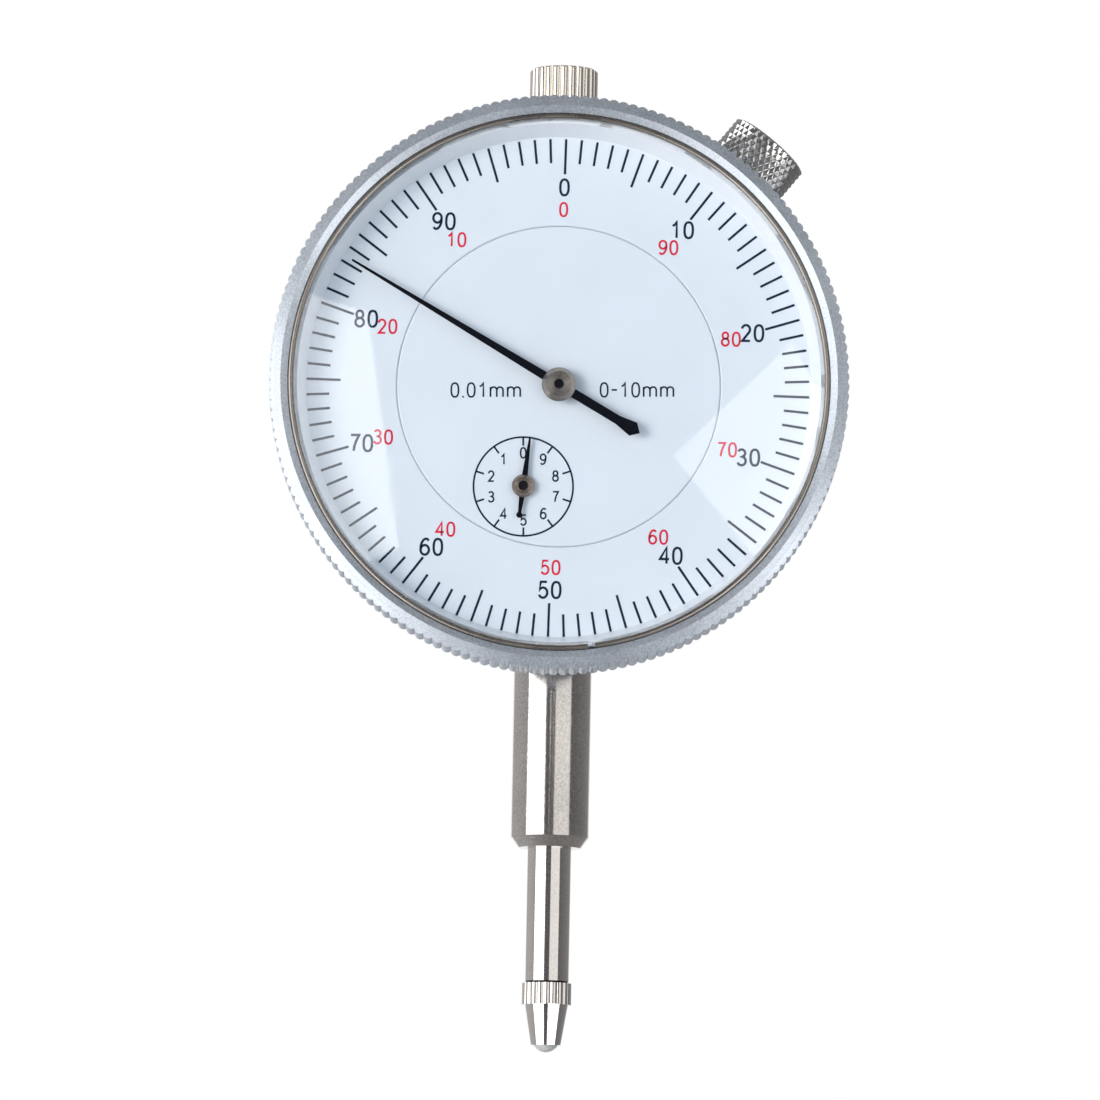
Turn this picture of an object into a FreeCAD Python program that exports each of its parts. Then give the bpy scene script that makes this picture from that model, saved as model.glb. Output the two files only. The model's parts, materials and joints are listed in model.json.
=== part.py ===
import FreeCAD, Part
import math
import os
import re
import Sketcher

# Dial indicator, 0.01 mm by 10 mm, plunger type.
# Millimetres. +Z runs up the spindle, the dial faces -Y and +X is to the right of someone reading it.
# The origin is on the spindle's axis, halfway along the length of stem that a holder clamps. Pieces are
# drawn about the middle of the dial, and measure_from_stem then raises each one by the dial's height.
# "Front" is a lower Y and "back" a higher Y. Angles turn clockwise as the dial is read.
# Every outline is written in expressions of the sheet's aliases, so a cell changed there moves its piece.

SIZES = [
    # case and its rear cover
    ("case_radius", 26.5),
    ("case_wall", 1.8),
    ("case_front", -7.0),
    ("case_back", 7.0),
    ("cover_back", 8.5),
    ("cover_bevel", 0.5),
    ("neck_radius", 5.0),
    ("neck_end", -27.8),
    ("neck_inner", -22.5),
    ("crown_radius", 4.4),
    ("crown_end", 27.0),
    ("crown_inner", 21.5),
    ("lug_radius", 2.5),
    ("lug_circle", 22.8),
    ("plate_lug_back", 1.0),
    ("plate_lug_turn", 25.0),
    ("cover_lug_front", 3.0),
    ("cover_lug_turn", 45.0),
    ("hanger_thickness", 5.0),
    ("hanger_radius", 6.25),
    ("hanger_hole", 3.25),
    ("hanger_back", 16.0),
    # screws
    ("screw_shank", 0.8),
    ("screw_length", 4.4),
    ("screw_head", 1.6),
    ("screw_rise", 0.9),
    ("screw_slot", 0.4),
    ("slot_depth", 0.5),
    ("fit_gap", 0.02),
    ("end_play", 0.1),
    ("lap", 0.1),
    ("tap_gap", 0.5),
    # stem, upper bush and dust cap
    ("stem_radius", 4.0),
    ("stem_press", 3.5),
    ("stem_bevel_top", -45.5),
    ("stem_bevel_radius", 3.2),
    ("stem_end", -46.6),
    ("bush_radius", 3.0),
    ("bush_bottom", 21.0),
    ("bush_top", 30.0),
    ("cap_radius", 3.5),
    ("cap_bottom", 27.2),
    ("cap_roof", 33.2),
    ("cap_top", 34.2),
    ("cap_edge", 0.2),
    ("cap_flutes", 24),
    ("flute_depth", 0.25),
    # spindle and contact point
    ("spindle_radius", 2.25),
    ("spindle_top", 22.0),
    ("spindle_end", -60.45),
    ("spindle_edge", 0.2),
    ("tip_thread", 1.25),
    ("tip_thread_depth", 4.8),
    ("collar_radius", 2.52),
    ("collar_height", 2.2),
    ("collar_flutes", 20),
    ("collar_depth", 0.15),
    ("cone_radius", 2.22),
    ("cone_end_radius", 1.53),
    ("cone_height", 4.12),
    ("ball_radius", 1.47),
    ("ball_height", -66.02),
    ("pin_radius", 0.75),
    ("pin_height", 2.0),
    ("pin_end", 5.6),
    ("pin_head", 1.0),
    ("pin_head_thickness", 0.3),
    ("pin_stop_gap", 0.05),
    # bezel
    ("bezel_radius", 29.5),
    ("bezel_front", -12.95),
    ("bezel_lip", -12.5),
    ("bezel_ridge", 28.3),
    ("bezel_slope_back", -12.25),
    ("band_back", -7.0),
    ("knurl_count", 180),
    ("knurl_depth", 0.28),
    ("seat_radius", 27.6),
    ("shoulder_front", -8.0),
    ("shoulder_back", -7.2),
    ("shoulder_bore", 25.0),
    ("skirt_bore", 26.7),
    ("skirt_radius", 28.3),
    ("skirt_back", -5.2),
    ("retainer_ring", 26.62),
    ("retainer_wire", 0.22),
    ("retainer_back", -6.1),
    ("retainer_gap", 6.0),
    ("groove_case", 26.35),
    ("groove_bezel", 26.9),
    ("groove_half", 0.28),
    # dials, crystal and what holds them
    ("dial_front", -8.5),
    ("dial_back", -8.0),
    ("outer_dial_radius", 27.2),
    ("outer_dial_bore", 16.55),
    ("inner_dial_radius", 16.5),
    ("dial_edge", 0.12),
    ("dial_hole", 1.0),
    ("foot_reach", 12.0),
    ("foot_shoulder", 1.2),
    ("foot_radius", 0.6),
    ("foot_end", -6.9),
    ("spacer_radius", 27.3),
    ("spacer_front_bore", 26.65),
    ("spacer_back_bore", 25.75),
    ("crystal_front", -12.9),
    ("crystal_step", -12.0),
    ("crystal_back", -11.6),
    ("crystal_radius", 26.9),
    ("crystal_flange", 27.5),
    ("wire_ring", 27.28),
    ("wire_radius", 0.3),
    ("wire_front", -12.32),
    ("wire_gap", 1.6),
    ("wire_gap_turn", 172.0),
    # movement plates, pillars, posts and bridges
    ("base_front", -3.4),
    ("base_back", -2.6),
    ("base_radius", 24.5),
    ("base_flat", 21.0),
    ("front_plate_front", -7.8),
    ("front_plate_back", -6.8),
    ("front_plate_radius", 20.0),
    ("pillar_x", 16.5),
    ("pillar_z", 5.0),
    ("pillar_radius", 1.5),
    ("rivet_radius", 0.7),
    ("pillar_floor", 0.8),
    ("pillar_screw_gap", 0.2),
    ("notch_gap", 0.3),
    ("notch_sink", 0.5),
    ("post_radius", 1.3),
    ("bridge_front", 2.6),
    ("bridge_back", 3.4),
    ("guide_post_x", 6.0),
    ("guide_post_z", 7.0),
    ("guide_half_width", 8.0),
    ("guide_bottom", -1.0),
    ("guide_top", 15.0),
    ("cock_post_x", -9.0),
    ("cock_post_step", 2.0),
    ("cock_half", 2.0),
    ("cock_nose", 1.5),
    ("anchor_x", 4.4),
    ("anchor_z", -19.0),
    ("anchor_post", 1.2),
    ("anchor_arm", 0.7),
    ("anchor_overhang", 0.6),
    ("travel", 10.5),
    # springs
    ("spring_back", 4.8),
    ("spring_radius", 1.0),
    ("spring_bore", 0.65),
    ("spring_wire", 0.15),
    ("spring_eye", 1.1),
    ("spring_tail", 0.9),
    ("spring_end_wall", 0.3),
    ("hair_start", 1.45),
    ("hair_step", 0.197),
    ("hair_halves", 16),
    ("hair_width", 0.1),
    ("hair_front", -6.4),
    ("hair_back", -5.8),
    ("stud_radius", 0.4),
    ("collet_radius", 1.3),
    # gear train
    ("rack_pitch", 0.625),
    ("rack_line", 1.83),
    ("rack_teeth", 22),
    ("rack_leaves", 16),
    ("rack_pinion_half", 1.5),
    ("centre_leaves", 10),
    ("wheel_teeth", 100),
    ("tooth_shift", 0.41),
    ("tooth_thinning", 0.015),
    ("arbor_radius", 0.75),
    ("pivot_radius", 0.4),
    ("seat_taper", 0.5),
    ("centre_front", -6.0),
    ("centre_back", -3.7),
    ("drive_front", -4.4),
    ("drive_back", -3.9),
    ("takeup_front", -5.6),
    ("takeup_back", -5.1),
    ("wheel_boss", 1.8),
    ("boss_reach", 0.7),
    ("wheel_window", 2.1),
    ("window_circle", 5.6),
    # pointers
    ("main_length", 24.7),
    ("main_root", 0.46),
    ("main_tip", 0.1),
    ("main_neck", -7.03),
    ("main_flare", 0.77),
    ("main_flare_end", -8.85),
    ("main_tail", -9.63),
    ("main_eye", 1.6),
    ("main_boss", 1.1),
    ("main_hub", 1.75),
    ("main_hub_front", -10.3),
    ("main_blade_front", -9.85),
    ("main_blade_back", -9.65),
    ("main_hub_back", -9.2),
    ("main_hub_bevel", 0.45),
    ("main_recess", 0.5),
    ("main_shoulder", 0.2),
    ("main_turn", -59.8),
    ("rev_length", 5.0),
    ("rev_root", 0.35),
    ("rev_tip", 0.1),
    ("rev_tail", -3.0),
    ("rev_tail_half", 0.15),
    ("rev_blob", 0.3),
    ("rev_eye", 1.05),
    ("rev_boss", 0.8),
    ("rev_hub", 1.165),
    ("rev_hub_front", -9.35),
    ("rev_blade_front", -9.05),
    ("rev_blade_back", -8.9),
    ("rev_hub_back", -8.7),
    ("rev_hub_bevel", 0.3),
    ("rev_recess", 0.25),
    ("rev_shoulder", 0.4),
    ("rev_turn", 6.8),
    # bezel clamp
    ("clamp_turn", 39.0),
    ("clamp_back", -2.0),
    ("clamp_boss", 3.2),
    ("clamp_boss_inner", 21.5),
    ("clamp_boss_sink", 0.3),
    ("clamp_shank", 1.25),
    ("knob_radius", 4.4),
    ("knob_bevel", 0.2),
    ("knob_inner", 28.95),
    ("knob_outer", 34.05),
    ("shoe_half", 3.5),
    ("shoe_front", -6.8),
    ("shoe_back", 1.8),
    ("shoe_outer", 28.9),
    ("shoe_gap", 0.05),
    ("shoe_inner", 24.5),
    ("shoe_case_gap", 0.2),
    ("shoe_lip_gap", 0.1),
]
PRESSURE_ANGLE = math.radians(20)

# Tooth heights above and below the pitch line, in modules.
RACK_ADDENDUM = 0.85
RACK_PINION_ADDENDUM = 1.0
CENTRE_PINION_ADDENDUM = 1.2
WHEEL_ADDENDUM = 0.96
DEDENDUM = 1.25

WHEEL_WINDOWS = 5
PAST = 1  # how far a cutting tool runs past what it cuts
WELD = 0.5  # how far a boss or web runs into what it stands on

X_AXIS = FreeCAD.Vector(1, 0, 0)
Y_AXIS = FreeCAD.Vector(0, 1, 0)
ALONG = {
    "X": FreeCAD.Rotation(Y_AXIS, 90),
    "Y": FreeCAD.Rotation(X_AXIS, -90),
    "Z": FreeCAD.Rotation(),
}

# The rack arbor stands where a pinion on the rack's line also reaches the centre pinion's wheel.
MODULE = "(rack_pitch / pi)"
CENTRES = f"({MODULE} * (wheel_teeth + centre_leaves) / 2)"
ARBOR_X = f"(-rack_line - {MODULE} * rack_leaves / 2)"
ARBOR_Z = f"(-sqrt({CENTRES} * {CENTRES} - {ARBOR_X} * {ARBOR_X}))"
TAKEUP_X = f"(-{ARBOR_X})"
TAKEUP_Z = f"(-{ARBOR_Z})"

doc = FreeCAD.newDocument("DialIndicator")
sheet = doc.addObject("Spreadsheet::Sheet", "Sizes")
for row, (alias, number) in enumerate(SIZES, start=1):
    sheet.set(f"A{row}", alias)
    sheet.set(f"B{row}", str(number))
    sheet.setAlias(f"B{row}", alias)
doc.recompute()
ALIAS = re.compile(r"(?<!\.)\b(" + "|".join(alias for alias, _ in SIZES) + r")\b")


def size(alias):
    """A driving dimension, as the sheet holds it."""
    return float(sheet.get(alias))


def bind(piece, setting, text):
    """Tie one setting of a piece to an expression of the sheet's aliases."""
    piece.setExpression(setting, ALIAS.sub(r"Sizes.\1", str(text)))


def move(piece, x="0", y="0", z="0"):
    for letter, text in zip("xyz", (x, y, z)):
        bind(piece, f"Placement.Base.{letter}", text)
    return piece


def rod(radius, start, end, axis="Y", x="0", y="0", z="0"):
    """A cylinder from start to end along one axis. The other two coordinates say where it stands."""
    piece = doc.addObject("Part::Cylinder", "Rod")
    bind(piece, "Radius", radius)
    bind(piece, "Height", f"({end}) - ({start})")
    piece.Placement = FreeCAD.Placement(FreeCAD.Vector(), ALONG[axis])
    spot = {"X": x, "Y": y, "Z": z}
    spot[axis] = start
    return move(piece, spot["X"], spot["Y"], spot["Z"])


def taper(front_radius, back_radius, start, end, x="0", z="0"):
    """A cone along Y."""
    piece = doc.addObject("Part::Cone", "Taper")
    bind(piece, "Radius1", front_radius)
    bind(piece, "Radius2", back_radius)
    bind(piece, "Height", f"({end}) - ({start})")
    piece.Placement = FreeCAD.Placement(FreeCAD.Vector(), ALONG["Y"])
    return move(piece, x, start, z)


def block(low, high):
    """A box between two corners, each three expressions."""
    piece = doc.addObject("Part::Box", "Block")
    for side, start, end in zip(("Length", "Width", "Height"), low, high):
        bind(piece, side, f"({end}) - ({start})")
    return move(piece, *low)


def ring(radius, wire, height, gap, turn):
    """A split wire ring about Y, with the middle of its gap at a clockwise turn from the top."""
    piece = doc.addObject("Part::Torus", "WireRing")
    bind(piece, "Radius1", radius)
    bind(piece, "Radius2", wire)
    bind(piece, "Angle3", f"360 - ({gap})")
    middle_of_gap = 90 - size(turn) + size(gap) / 2
    facing = FreeCAD.Rotation(X_AXIS, 90).multiply(FreeCAD.Rotation(FreeCAD.Vector(0, 0, 1), middle_of_gap))
    piece.Placement = FreeCAD.Placement(FreeCAD.Vector(), facing)
    return move(piece, y=height)


def through(start, end):
    """The span of a tool that cuts right through a piece."""
    return f"{start} - {PAST}", f"{end} + {PAST}"


def fuse(label, pieces):
    piece = doc.addObject("Part::MultiFuse", label)
    piece.Shapes = pieces
    piece.Refine = True
    return piece


def cut(label, base, tools):
    piece = doc.addObject("Part::Cut", label)
    piece.Base = base
    piece.Tool = tools[0] if len(tools) == 1 else fuse("Tools", tools)
    return piece


def common(label, pieces):
    piece = doc.addObject("Part::MultiCommon", label)
    piece.Shapes = pieces
    return piece


def group(label, pieces):
    """Separate solids that share one node."""
    piece = doc.addObject("Part::Compound", label)
    piece.Links = pieces
    return piece


def from_code(label, shape, placement=FreeCAD.Placement()):
    piece = doc.addObject("Part::Feature", label)
    piece.Shape = shape
    piece.Placement = placement
    return piece


def sketch_in(body, role, outline):
    """A closed polygon of (across, along) expressions on one of the body's own planes."""
    plane = next(feature for feature in body.Origin.OriginFeatures if feature.Role == role)
    sketch = body.newObject("Sketcher::SketchObject", "Outline")
    sketch.AttachmentSupport = [(plane, "")]
    sketch.MapMode = "FlatFace"
    count = len(outline)
    start = [
        FreeCAD.Vector(math.cos(2 * math.pi * i / count), math.sin(2 * math.pi * i / count), 0)
        for i in range(count)
    ]
    for i in range(count):
        sketch.addGeometry(Part.LineSegment(start[i], start[(i + 1) % count]))
    for i in range(count):
        sketch.addConstraint(Sketcher.Constraint("Coincident", i, 2, (i + 1) % count, 1))
    for i, (across, along) in enumerate(outline):
        for direction, text, place in (("DistanceX", across, start[i].x), ("DistanceY", along, start[i].y)):
            number = sketch.addConstraint(Sketcher.Constraint(direction, -1, 1, i, 1, place))
            bind(sketch, f"Constraints[{number}]", text)
    return sketch


def turned(label, axis, outline):
    """A piece turned about Y or Z, from a half section of (radius, distance along the axis)."""
    body = doc.addObject("PartDesign::Body", label)
    sketch = sketch_in(body, {"Y": "XY_Plane", "Z": "XZ_Plane"}[axis], outline)
    revolution = body.newObject("PartDesign::Revolution", "Turning")
    revolution.Profile = sketch
    revolution.ReferenceAxis = (sketch, ["V_Axis"])
    revolution.Angle = 360
    return body


def sheet_metal(label, outline, front, back):
    """A flat piece parallel to the dial, from an (x, z) outline."""
    body = doc.addObject("PartDesign::Body", label)
    sketch = sketch_in(body, "XZ_Plane", outline)
    bind(sketch, "AttachmentOffset.Base.z", f"-({back})")
    pad = body.newObject("PartDesign::Pad", "Thickness")
    pad.Profile = sketch
    bind(pad, "Length", f"({back}) - ({front})")
    return body


def on_circle(radius, turn, signs):
    """A point on a circle about Y, in the quadrant that the signs of x and z name."""
    return f"({signs[0]} * {radius} * cos({turn}))", f"({signs[1]} * {radius} * sin({turn}))"


QUADRANTS = [(1, 1), (-1, 1), (-1, -1), (1, -1)]
PLATE_LUGS = [on_circle("lug_circle", "plate_lug_turn", signs) for signs in QUADRANTS]
COVER_LUGS = [on_circle("lug_circle", "cover_lug_turn", signs) for signs in QUADRANTS]
PILLARS = [(f"({sx} * pillar_x)", f"({sz} * pillar_z)") for sx, sz in QUADRANTS]
GUIDE_POSTS = [(f"({side} * guide_post_x)", "guide_post_z") for side in (-1, 1)]
COCK_POSTS = [("cock_post_x", f"({ARBOR_Z} + {side} * cock_post_step)") for side in (-1, 1)]
BRIDGE_POSTS = GUIDE_POSTS + COCK_POSTS


def cheese_head_screw(seat, way, x, z):
    """A slotted screw along Y whose head stands on the seat and whose shank goes the given way."""
    tip = f"{seat} + {way} * screw_length"
    crown = f"{seat} - {way} * screw_rise"
    low, high = (seat, tip) if way > 0 else (tip, seat)
    shank = rod("screw_shank", low, high, "Y", x=x, z=z)
    low, high = (crown, seat) if way > 0 else (seat, crown)
    head = rod("screw_head", low, high, "Y", x=x, z=z)
    floor = f"{crown} + {way} * slot_depth"
    low, high = (f"{crown} - {PAST}", floor) if way > 0 else (floor, f"{crown} + {PAST}")
    slot = block(
        (f"{x} - screw_head - {PAST}", low, f"{z} - screw_slot / 2"),
        (f"{x} + screw_head + {PAST}", high, f"{z} + screw_slot / 2"),
    )
    return cut("Screw", fuse("Blank", [shank, head]), [slot])


def fluted(radius, depth, count, start, end, axis):
    """A prism with rounded ridges and sharp valleys, for the outside of a straight knurl."""
    half = math.pi / count

    def spot(distance, angle):
        return FreeCAD.Vector(distance * math.cos(angle), distance * math.sin(angle), start)

    valley = radius - depth
    ridges = [
        Part.Arc(
            spot(valley, (2 * i - 1) * half), spot(radius, 2 * i * half), spot(valley, (2 * i + 1) * half)
        ).toShape()
        for i in range(count)
    ]
    prism = Part.Face(Part.Wire(ridges)).extrude(FreeCAD.Vector(0, 0, end - start))
    return from_code("Flutes", prism, FreeCAD.Placement(FreeCAD.Vector(), ALONG[axis]))


def involute(angle):
    return math.tan(angle) - angle


def gear(teeth, shift, tip, root, front, back, turn):
    """A spur gear about Y, with a tooth centred at a clockwise turn. Tip and root are in modules."""
    module = size("rack_pitch") / math.pi
    pitch_radius = module * teeth / 2
    base_radius = pitch_radius * math.cos(PRESSURE_ANGLE)
    tip_radius = pitch_radius + tip * module
    root_radius = pitch_radius - root * module
    foot_radius = max(base_radius, root_radius)
    at_pitch = (math.pi / 2 + 2 * shift * math.tan(PRESSURE_ANGLE)) / teeth
    at_pitch -= size("tooth_thinning") / pitch_radius / 2

    def half_angle(radius):
        pressure = math.acos(min(1.0, base_radius / radius))
        return at_pitch + involute(PRESSURE_ANGLE) - involute(pressure)

    def spot(radius, angle):
        return FreeCAD.Vector(radius * math.sin(angle), front, radius * math.cos(angle))

    middle_radius = (foot_radius + tip_radius) / 2
    step = 2 * math.pi / teeth
    edges = []
    for i in range(teeth):
        middle = turn + i * step
        flank = [(radius, half_angle(radius)) for radius in (foot_radius, middle_radius, tip_radius)]
        rising = [spot(radius, middle - angle) for radius, angle in flank]
        falling = [spot(radius, middle + angle) for radius, angle in reversed(flank)]
        foot = half_angle(foot_radius)
        root_start = spot(root_radius, middle + foot)
        root_end = spot(root_radius, middle + step - foot)
        edges.append(Part.Arc(*rising).toShape())
        edges.append(Part.Arc(rising[-1], spot(tip_radius, middle), falling[0]).toShape())
        edges.append(Part.Arc(*falling).toShape())
        if foot_radius > root_radius:
            edges.append(Part.makeLine(falling[-1], root_start))
        edges.append(Part.Arc(root_start, spot(root_radius, middle + step / 2), root_end).toShape())
        if foot_radius > root_radius:
            edges.append(Part.makeLine(root_end, spot(foot_radius, middle + step - foot)))
    face = Part.Face(Part.Wire(edges))
    return from_code("Gear", face.extrude(FreeCAD.Vector(0, back - front, 0)))


def arbor_place():
    """Where the rack arbor's axis crosses the dial's plane, as numbers."""
    module = size("rack_pitch") / math.pi
    x = -size("rack_line") - module * size("rack_leaves") / 2
    centres = module * (size("wheel_teeth") + size("centre_leaves")) / 2
    return x, -math.sqrt(centres**2 - x**2)


def train_lean():
    """The clockwise turn from +Z of the line that all three arbors stand on."""
    x, z = arbor_place()
    return math.atan2(-x, -z)


# ---- case ----


def clamp_axis(piece, y="clamp_back"):
    """Swing a piece drawn upright at x = 0 round to the clamp's direction."""
    piece.Placement = FreeCAD.Placement(FreeCAD.Vector(), FreeCAD.Rotation(Y_AXIS, size("clamp_turn")))
    return move(piece, y=y)


def clamp_rod(radius, start, end):
    piece = rod(radius, "0", f"({end}) - ({start})", "Z")
    turn = size("clamp_turn")
    piece.Placement = FreeCAD.Placement(FreeCAD.Vector(), FreeCAD.Rotation(Y_AXIS, turn))
    return move(piece, f"({start}) * sin(clamp_turn)", "clamp_back", f"({start}) * cos(clamp_turn)")


def case_body():
    shell = cut(
        "CaseRing",
        rod("case_radius", "case_front", "case_back"),
        [rod("case_radius - case_wall", *through("case_front", "case_back"))],
    )
    lugs = [rod("lug_radius", "base_back", "plate_lug_back", x=x, z=z) for x, z in PLATE_LUGS]
    lugs += [rod("lug_radius", "cover_lug_front", "case_back", x=x, z=z) for x, z in COVER_LUGS]
    neck = rod("neck_radius", "neck_end", "neck_inner", "Z")
    crown = rod("crown_radius", "crown_inner", "crown_end", "Z")
    clamp_boss = clamp_rod("clamp_boss", "clamp_boss_inner", "case_radius - clamp_boss_sink")
    casting = fuse("CaseCasting", [shell, neck, crown, clamp_boss] + lugs)
    holes = [
        rod("stem_press", *through("neck_end", "neck_inner"), "Z"),
        rod("bush_radius", *through("crown_inner", "crown_end"), "Z"),
        clamp_rod("clamp_shank + fit_gap", *through("clamp_boss_inner", "case_radius")),
    ]
    screw_hole = "screw_shank + fit_gap"
    plate_span = through("base_back", "plate_lug_back")
    cover_span = through("cover_lug_front", "case_back")
    holes += [rod(screw_hole, *plate_span, x=x, z=z) for x, z in PLATE_LUGS]
    holes += [rod(screw_hole, *cover_span, x=x, z=z) for x, z in COVER_LUGS]
    groove = cut(
        "RetainerGroove",
        rod(f"case_radius + {PAST}", "retainer_back - groove_half", "retainer_back + groove_half"),
        [rod("groove_case", *through("retainer_back", "retainer_back"))],
    )
    return cut("case_body", casting, holes + [groove])


def back_cover():
    disc = turned(
        "CoverDisc",
        "Y",
        [
            ("0", "case_back"),
            ("case_radius", "case_back"),
            ("case_radius", "cover_back - cover_bevel"),
            ("case_radius - cover_bevel", "cover_back"),
            ("0", "cover_back"),
        ],
    )
    half = "hanger_thickness / 2"
    web = block(
        (f"-{half}", f"cover_back - {WELD}", "-hanger_radius"),
        (half, "hanger_back", "hanger_radius"),
    )
    eye = rod("hanger_radius", f"-{half}", half, "X", y="hanger_back")
    holes = [rod("hanger_hole", *through(f"-{half}", half), "X", y="hanger_back")]
    for x, z in COVER_LUGS:
        holes.append(rod("screw_shank + fit_gap", *through("case_back", "cover_back"), x=x, z=z))
    return cut("back_cover", fuse("CoverBlank", [disc, web, eye]), holes)


def back_cover_screws():
    return group("back_cover_screws", [cheese_head_screw("cover_back", -1, x, z) for x, z in COVER_LUGS])


def stem():
    bore = "spindle_radius + fit_gap"
    outline = [
        (bore, "neck_inner"),
        ("stem_press", "neck_inner"),
        ("stem_press", "neck_end"),
        ("stem_radius", "neck_end"),
        ("stem_radius", "stem_bevel_top"),
        ("stem_bevel_radius", "stem_end"),
        (bore, "stem_end"),
    ]
    return turned("stem", "Z", outline)


def upper_bush():
    bore = "spindle_radius + fit_gap"
    outline = [
        (bore, "bush_bottom"),
        ("bush_radius", "bush_bottom"),
        ("bush_radius", "bush_top"),
        (bore, "bush_top"),
    ]
    return turned("upper_bush", "Z", outline)


def dust_cap():
    outline = [
        ("bush_radius", "cap_bottom"),
        ("cap_radius", "cap_bottom"),
        ("cap_radius", "cap_top - cap_edge"),
        ("cap_radius - cap_edge", "cap_top"),
        ("0", "cap_top"),
        ("0", "cap_roof"),
        ("bush_radius", "cap_roof"),
    ]
    shell = turned("CapShell", "Z", outline)
    ends = (size("cap_bottom") - PAST, size("cap_top") + PAST)
    flutes = fluted(size("cap_radius"), size("flute_depth"), int(size("cap_flutes")), *ends, "Z")
    return common("dust_cap", [shell, flutes])


# ---- bezel, dials and crystal ----


def bezel():
    outline = [
        ("seat_radius", "bezel_lip"),
        ("bezel_ridge", "bezel_front"),
        ("bezel_radius", "bezel_slope_back"),
        ("bezel_radius", "band_back"),
        ("skirt_radius", "band_back"),
        ("skirt_radius", "skirt_back"),
        ("skirt_bore", "skirt_back"),
        ("skirt_bore", "retainer_back + groove_half"),
        ("groove_bezel", "retainer_back + groove_half"),
        ("groove_bezel", "retainer_back - groove_half"),
        ("skirt_bore", "retainer_back - groove_half"),
        ("skirt_bore", "shoulder_back"),
        ("shoulder_bore", "shoulder_back"),
        ("shoulder_bore", "shoulder_front"),
        ("seat_radius", "shoulder_front"),
    ]
    rim = turned("BezelRim", "Y", outline)
    ends = (size("bezel_front") - PAST, size("skirt_back") + PAST)
    flutes = fluted(size("bezel_radius"), size("knurl_depth"), int(size("knurl_count")), *ends, "Y")
    return common("bezel", [rim, flutes])


def bezel_spring_wire():
    """The split wire that snaps into facing grooves and keeps the bezel on the case."""
    wire = ring("retainer_ring", "retainer_wire", "retainer_back", "retainer_gap", "wire_gap_turn")
    wire.Label = "bezel_spring_wire"
    return wire


def outer_dial():
    outline = [
        ("outer_dial_bore + dial_edge", "dial_front"),
        ("outer_dial_radius", "dial_front"),
        ("outer_dial_radius", "dial_back"),
        ("outer_dial_bore", "dial_back"),
        ("outer_dial_bore", "dial_front + dial_edge"),
    ]
    return turned("outer_dial", "Y", outline)


def inner_dial():
    outline = [
        ("0", "dial_front"),
        ("inner_dial_radius - dial_edge", "dial_front"),
        ("inner_dial_radius", "dial_front + dial_edge"),
        ("inner_dial_radius", "dial_back"),
        ("0", "dial_back"),
    ]
    disc = turned("DialDisc", "Y", outline)
    feet = []
    for side in (-1, 1):
        x = f"({side} * foot_reach)"
        feet.append(rod("foot_shoulder", f"dial_back - {WELD / 2}", "front_plate_front", x=x))
        feet.append(rod("foot_radius", "front_plate_front - lap", "foot_end", x=x))
    holes = [
        rod("dial_hole", *through("dial_front", "dial_back")),
        rod("dial_hole", *through("dial_front", "dial_back"), x=ARBOR_X, z=ARBOR_Z),
    ]
    return cut("inner_dial", fuse("DialBlank", [disc] + feet), holes)


def spacer_ring():
    outline = [
        ("spacer_front_bore", "crystal_back"),
        ("spacer_radius", "crystal_back"),
        ("spacer_radius", "dial_front"),
        ("spacer_back_bore", "dial_front"),
    ]
    return turned("spacer_ring", "Y", outline)


def crystal():
    outline = [
        ("0", "crystal_front"),
        ("crystal_radius", "crystal_front"),
        ("crystal_radius", "crystal_step"),
        ("crystal_flange", "crystal_step"),
        ("crystal_flange", "crystal_back"),
        ("0", "crystal_back"),
    ]
    return turned("crystal", "Y", outline)


def crystal_retaining_wire():
    wire = ring("wire_ring", "wire_radius", "wire_front", "wire_gap", "wire_gap_turn")
    wire.Label = "crystal_retaining_wire"
    return wire


# ---- spindle ----


def rack_spaces():
    """What the rack's teeth leave out of the spindle's left side, cut right across it."""
    module = size("rack_pitch") / math.pi
    pitch = size("rack_pitch")
    slope = math.tan(PRESSURE_ANGLE)
    tip_x = -size("rack_line") - RACK_ADDENDUM * module
    root_x = -size("rack_line") + DEDENDUM * module
    tip_half = pitch / 4 - RACK_ADDENDUM * module * slope - size("tooth_thinning") / 2
    root_half = pitch / 4 + DEDENDUM * module * slope - size("tooth_thinning") / 2
    depth = size("spindle_radius") + PAST
    outside = -depth
    top_tooth = arbor_place()[1] + 2 * pitch
    points = [(outside, top_tooth + pitch / 2), (root_x, top_tooth + pitch / 2)]
    for i in range(int(size("rack_teeth"))):
        middle = top_tooth - i * pitch
        points.append((root_x, middle + root_half))
        points.append((tip_x, middle + tip_half))
        points.append((tip_x, middle - tip_half))
        points.append((root_x, middle - root_half))
    bottom = points[-1][1] - pitch / 4
    points += [(root_x, bottom), (outside, bottom)]
    corners = [FreeCAD.Vector(x, -depth, z) for x, z in points]
    face = Part.Face(Part.makePolygon(corners + corners[:1]))
    return from_code("RackSpaces", face.extrude(FreeCAD.Vector(0, 2 * depth, 0)))


def spindle():
    outline = [
        ("0", "spindle_top"),
        ("spindle_radius - spindle_edge", "spindle_top"),
        ("spindle_radius", "spindle_top - spindle_edge"),
        ("spindle_radius", "spindle_end + spindle_edge"),
        ("spindle_radius - spindle_edge", "spindle_end"),
        ("tip_thread", "spindle_end"),
        ("tip_thread", "spindle_end + tip_thread_depth"),
        ("0", "spindle_end + tip_thread_depth"),
    ]
    shaft = turned("SpindleShaft", "Z", outline)
    pin_hole = rod("pin_radius", "-pin_radius", f"spindle_radius + {PAST}", "Y", z="pin_height")
    return cut("spindle", shaft, [pin_hole, rack_spaces()])


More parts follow.
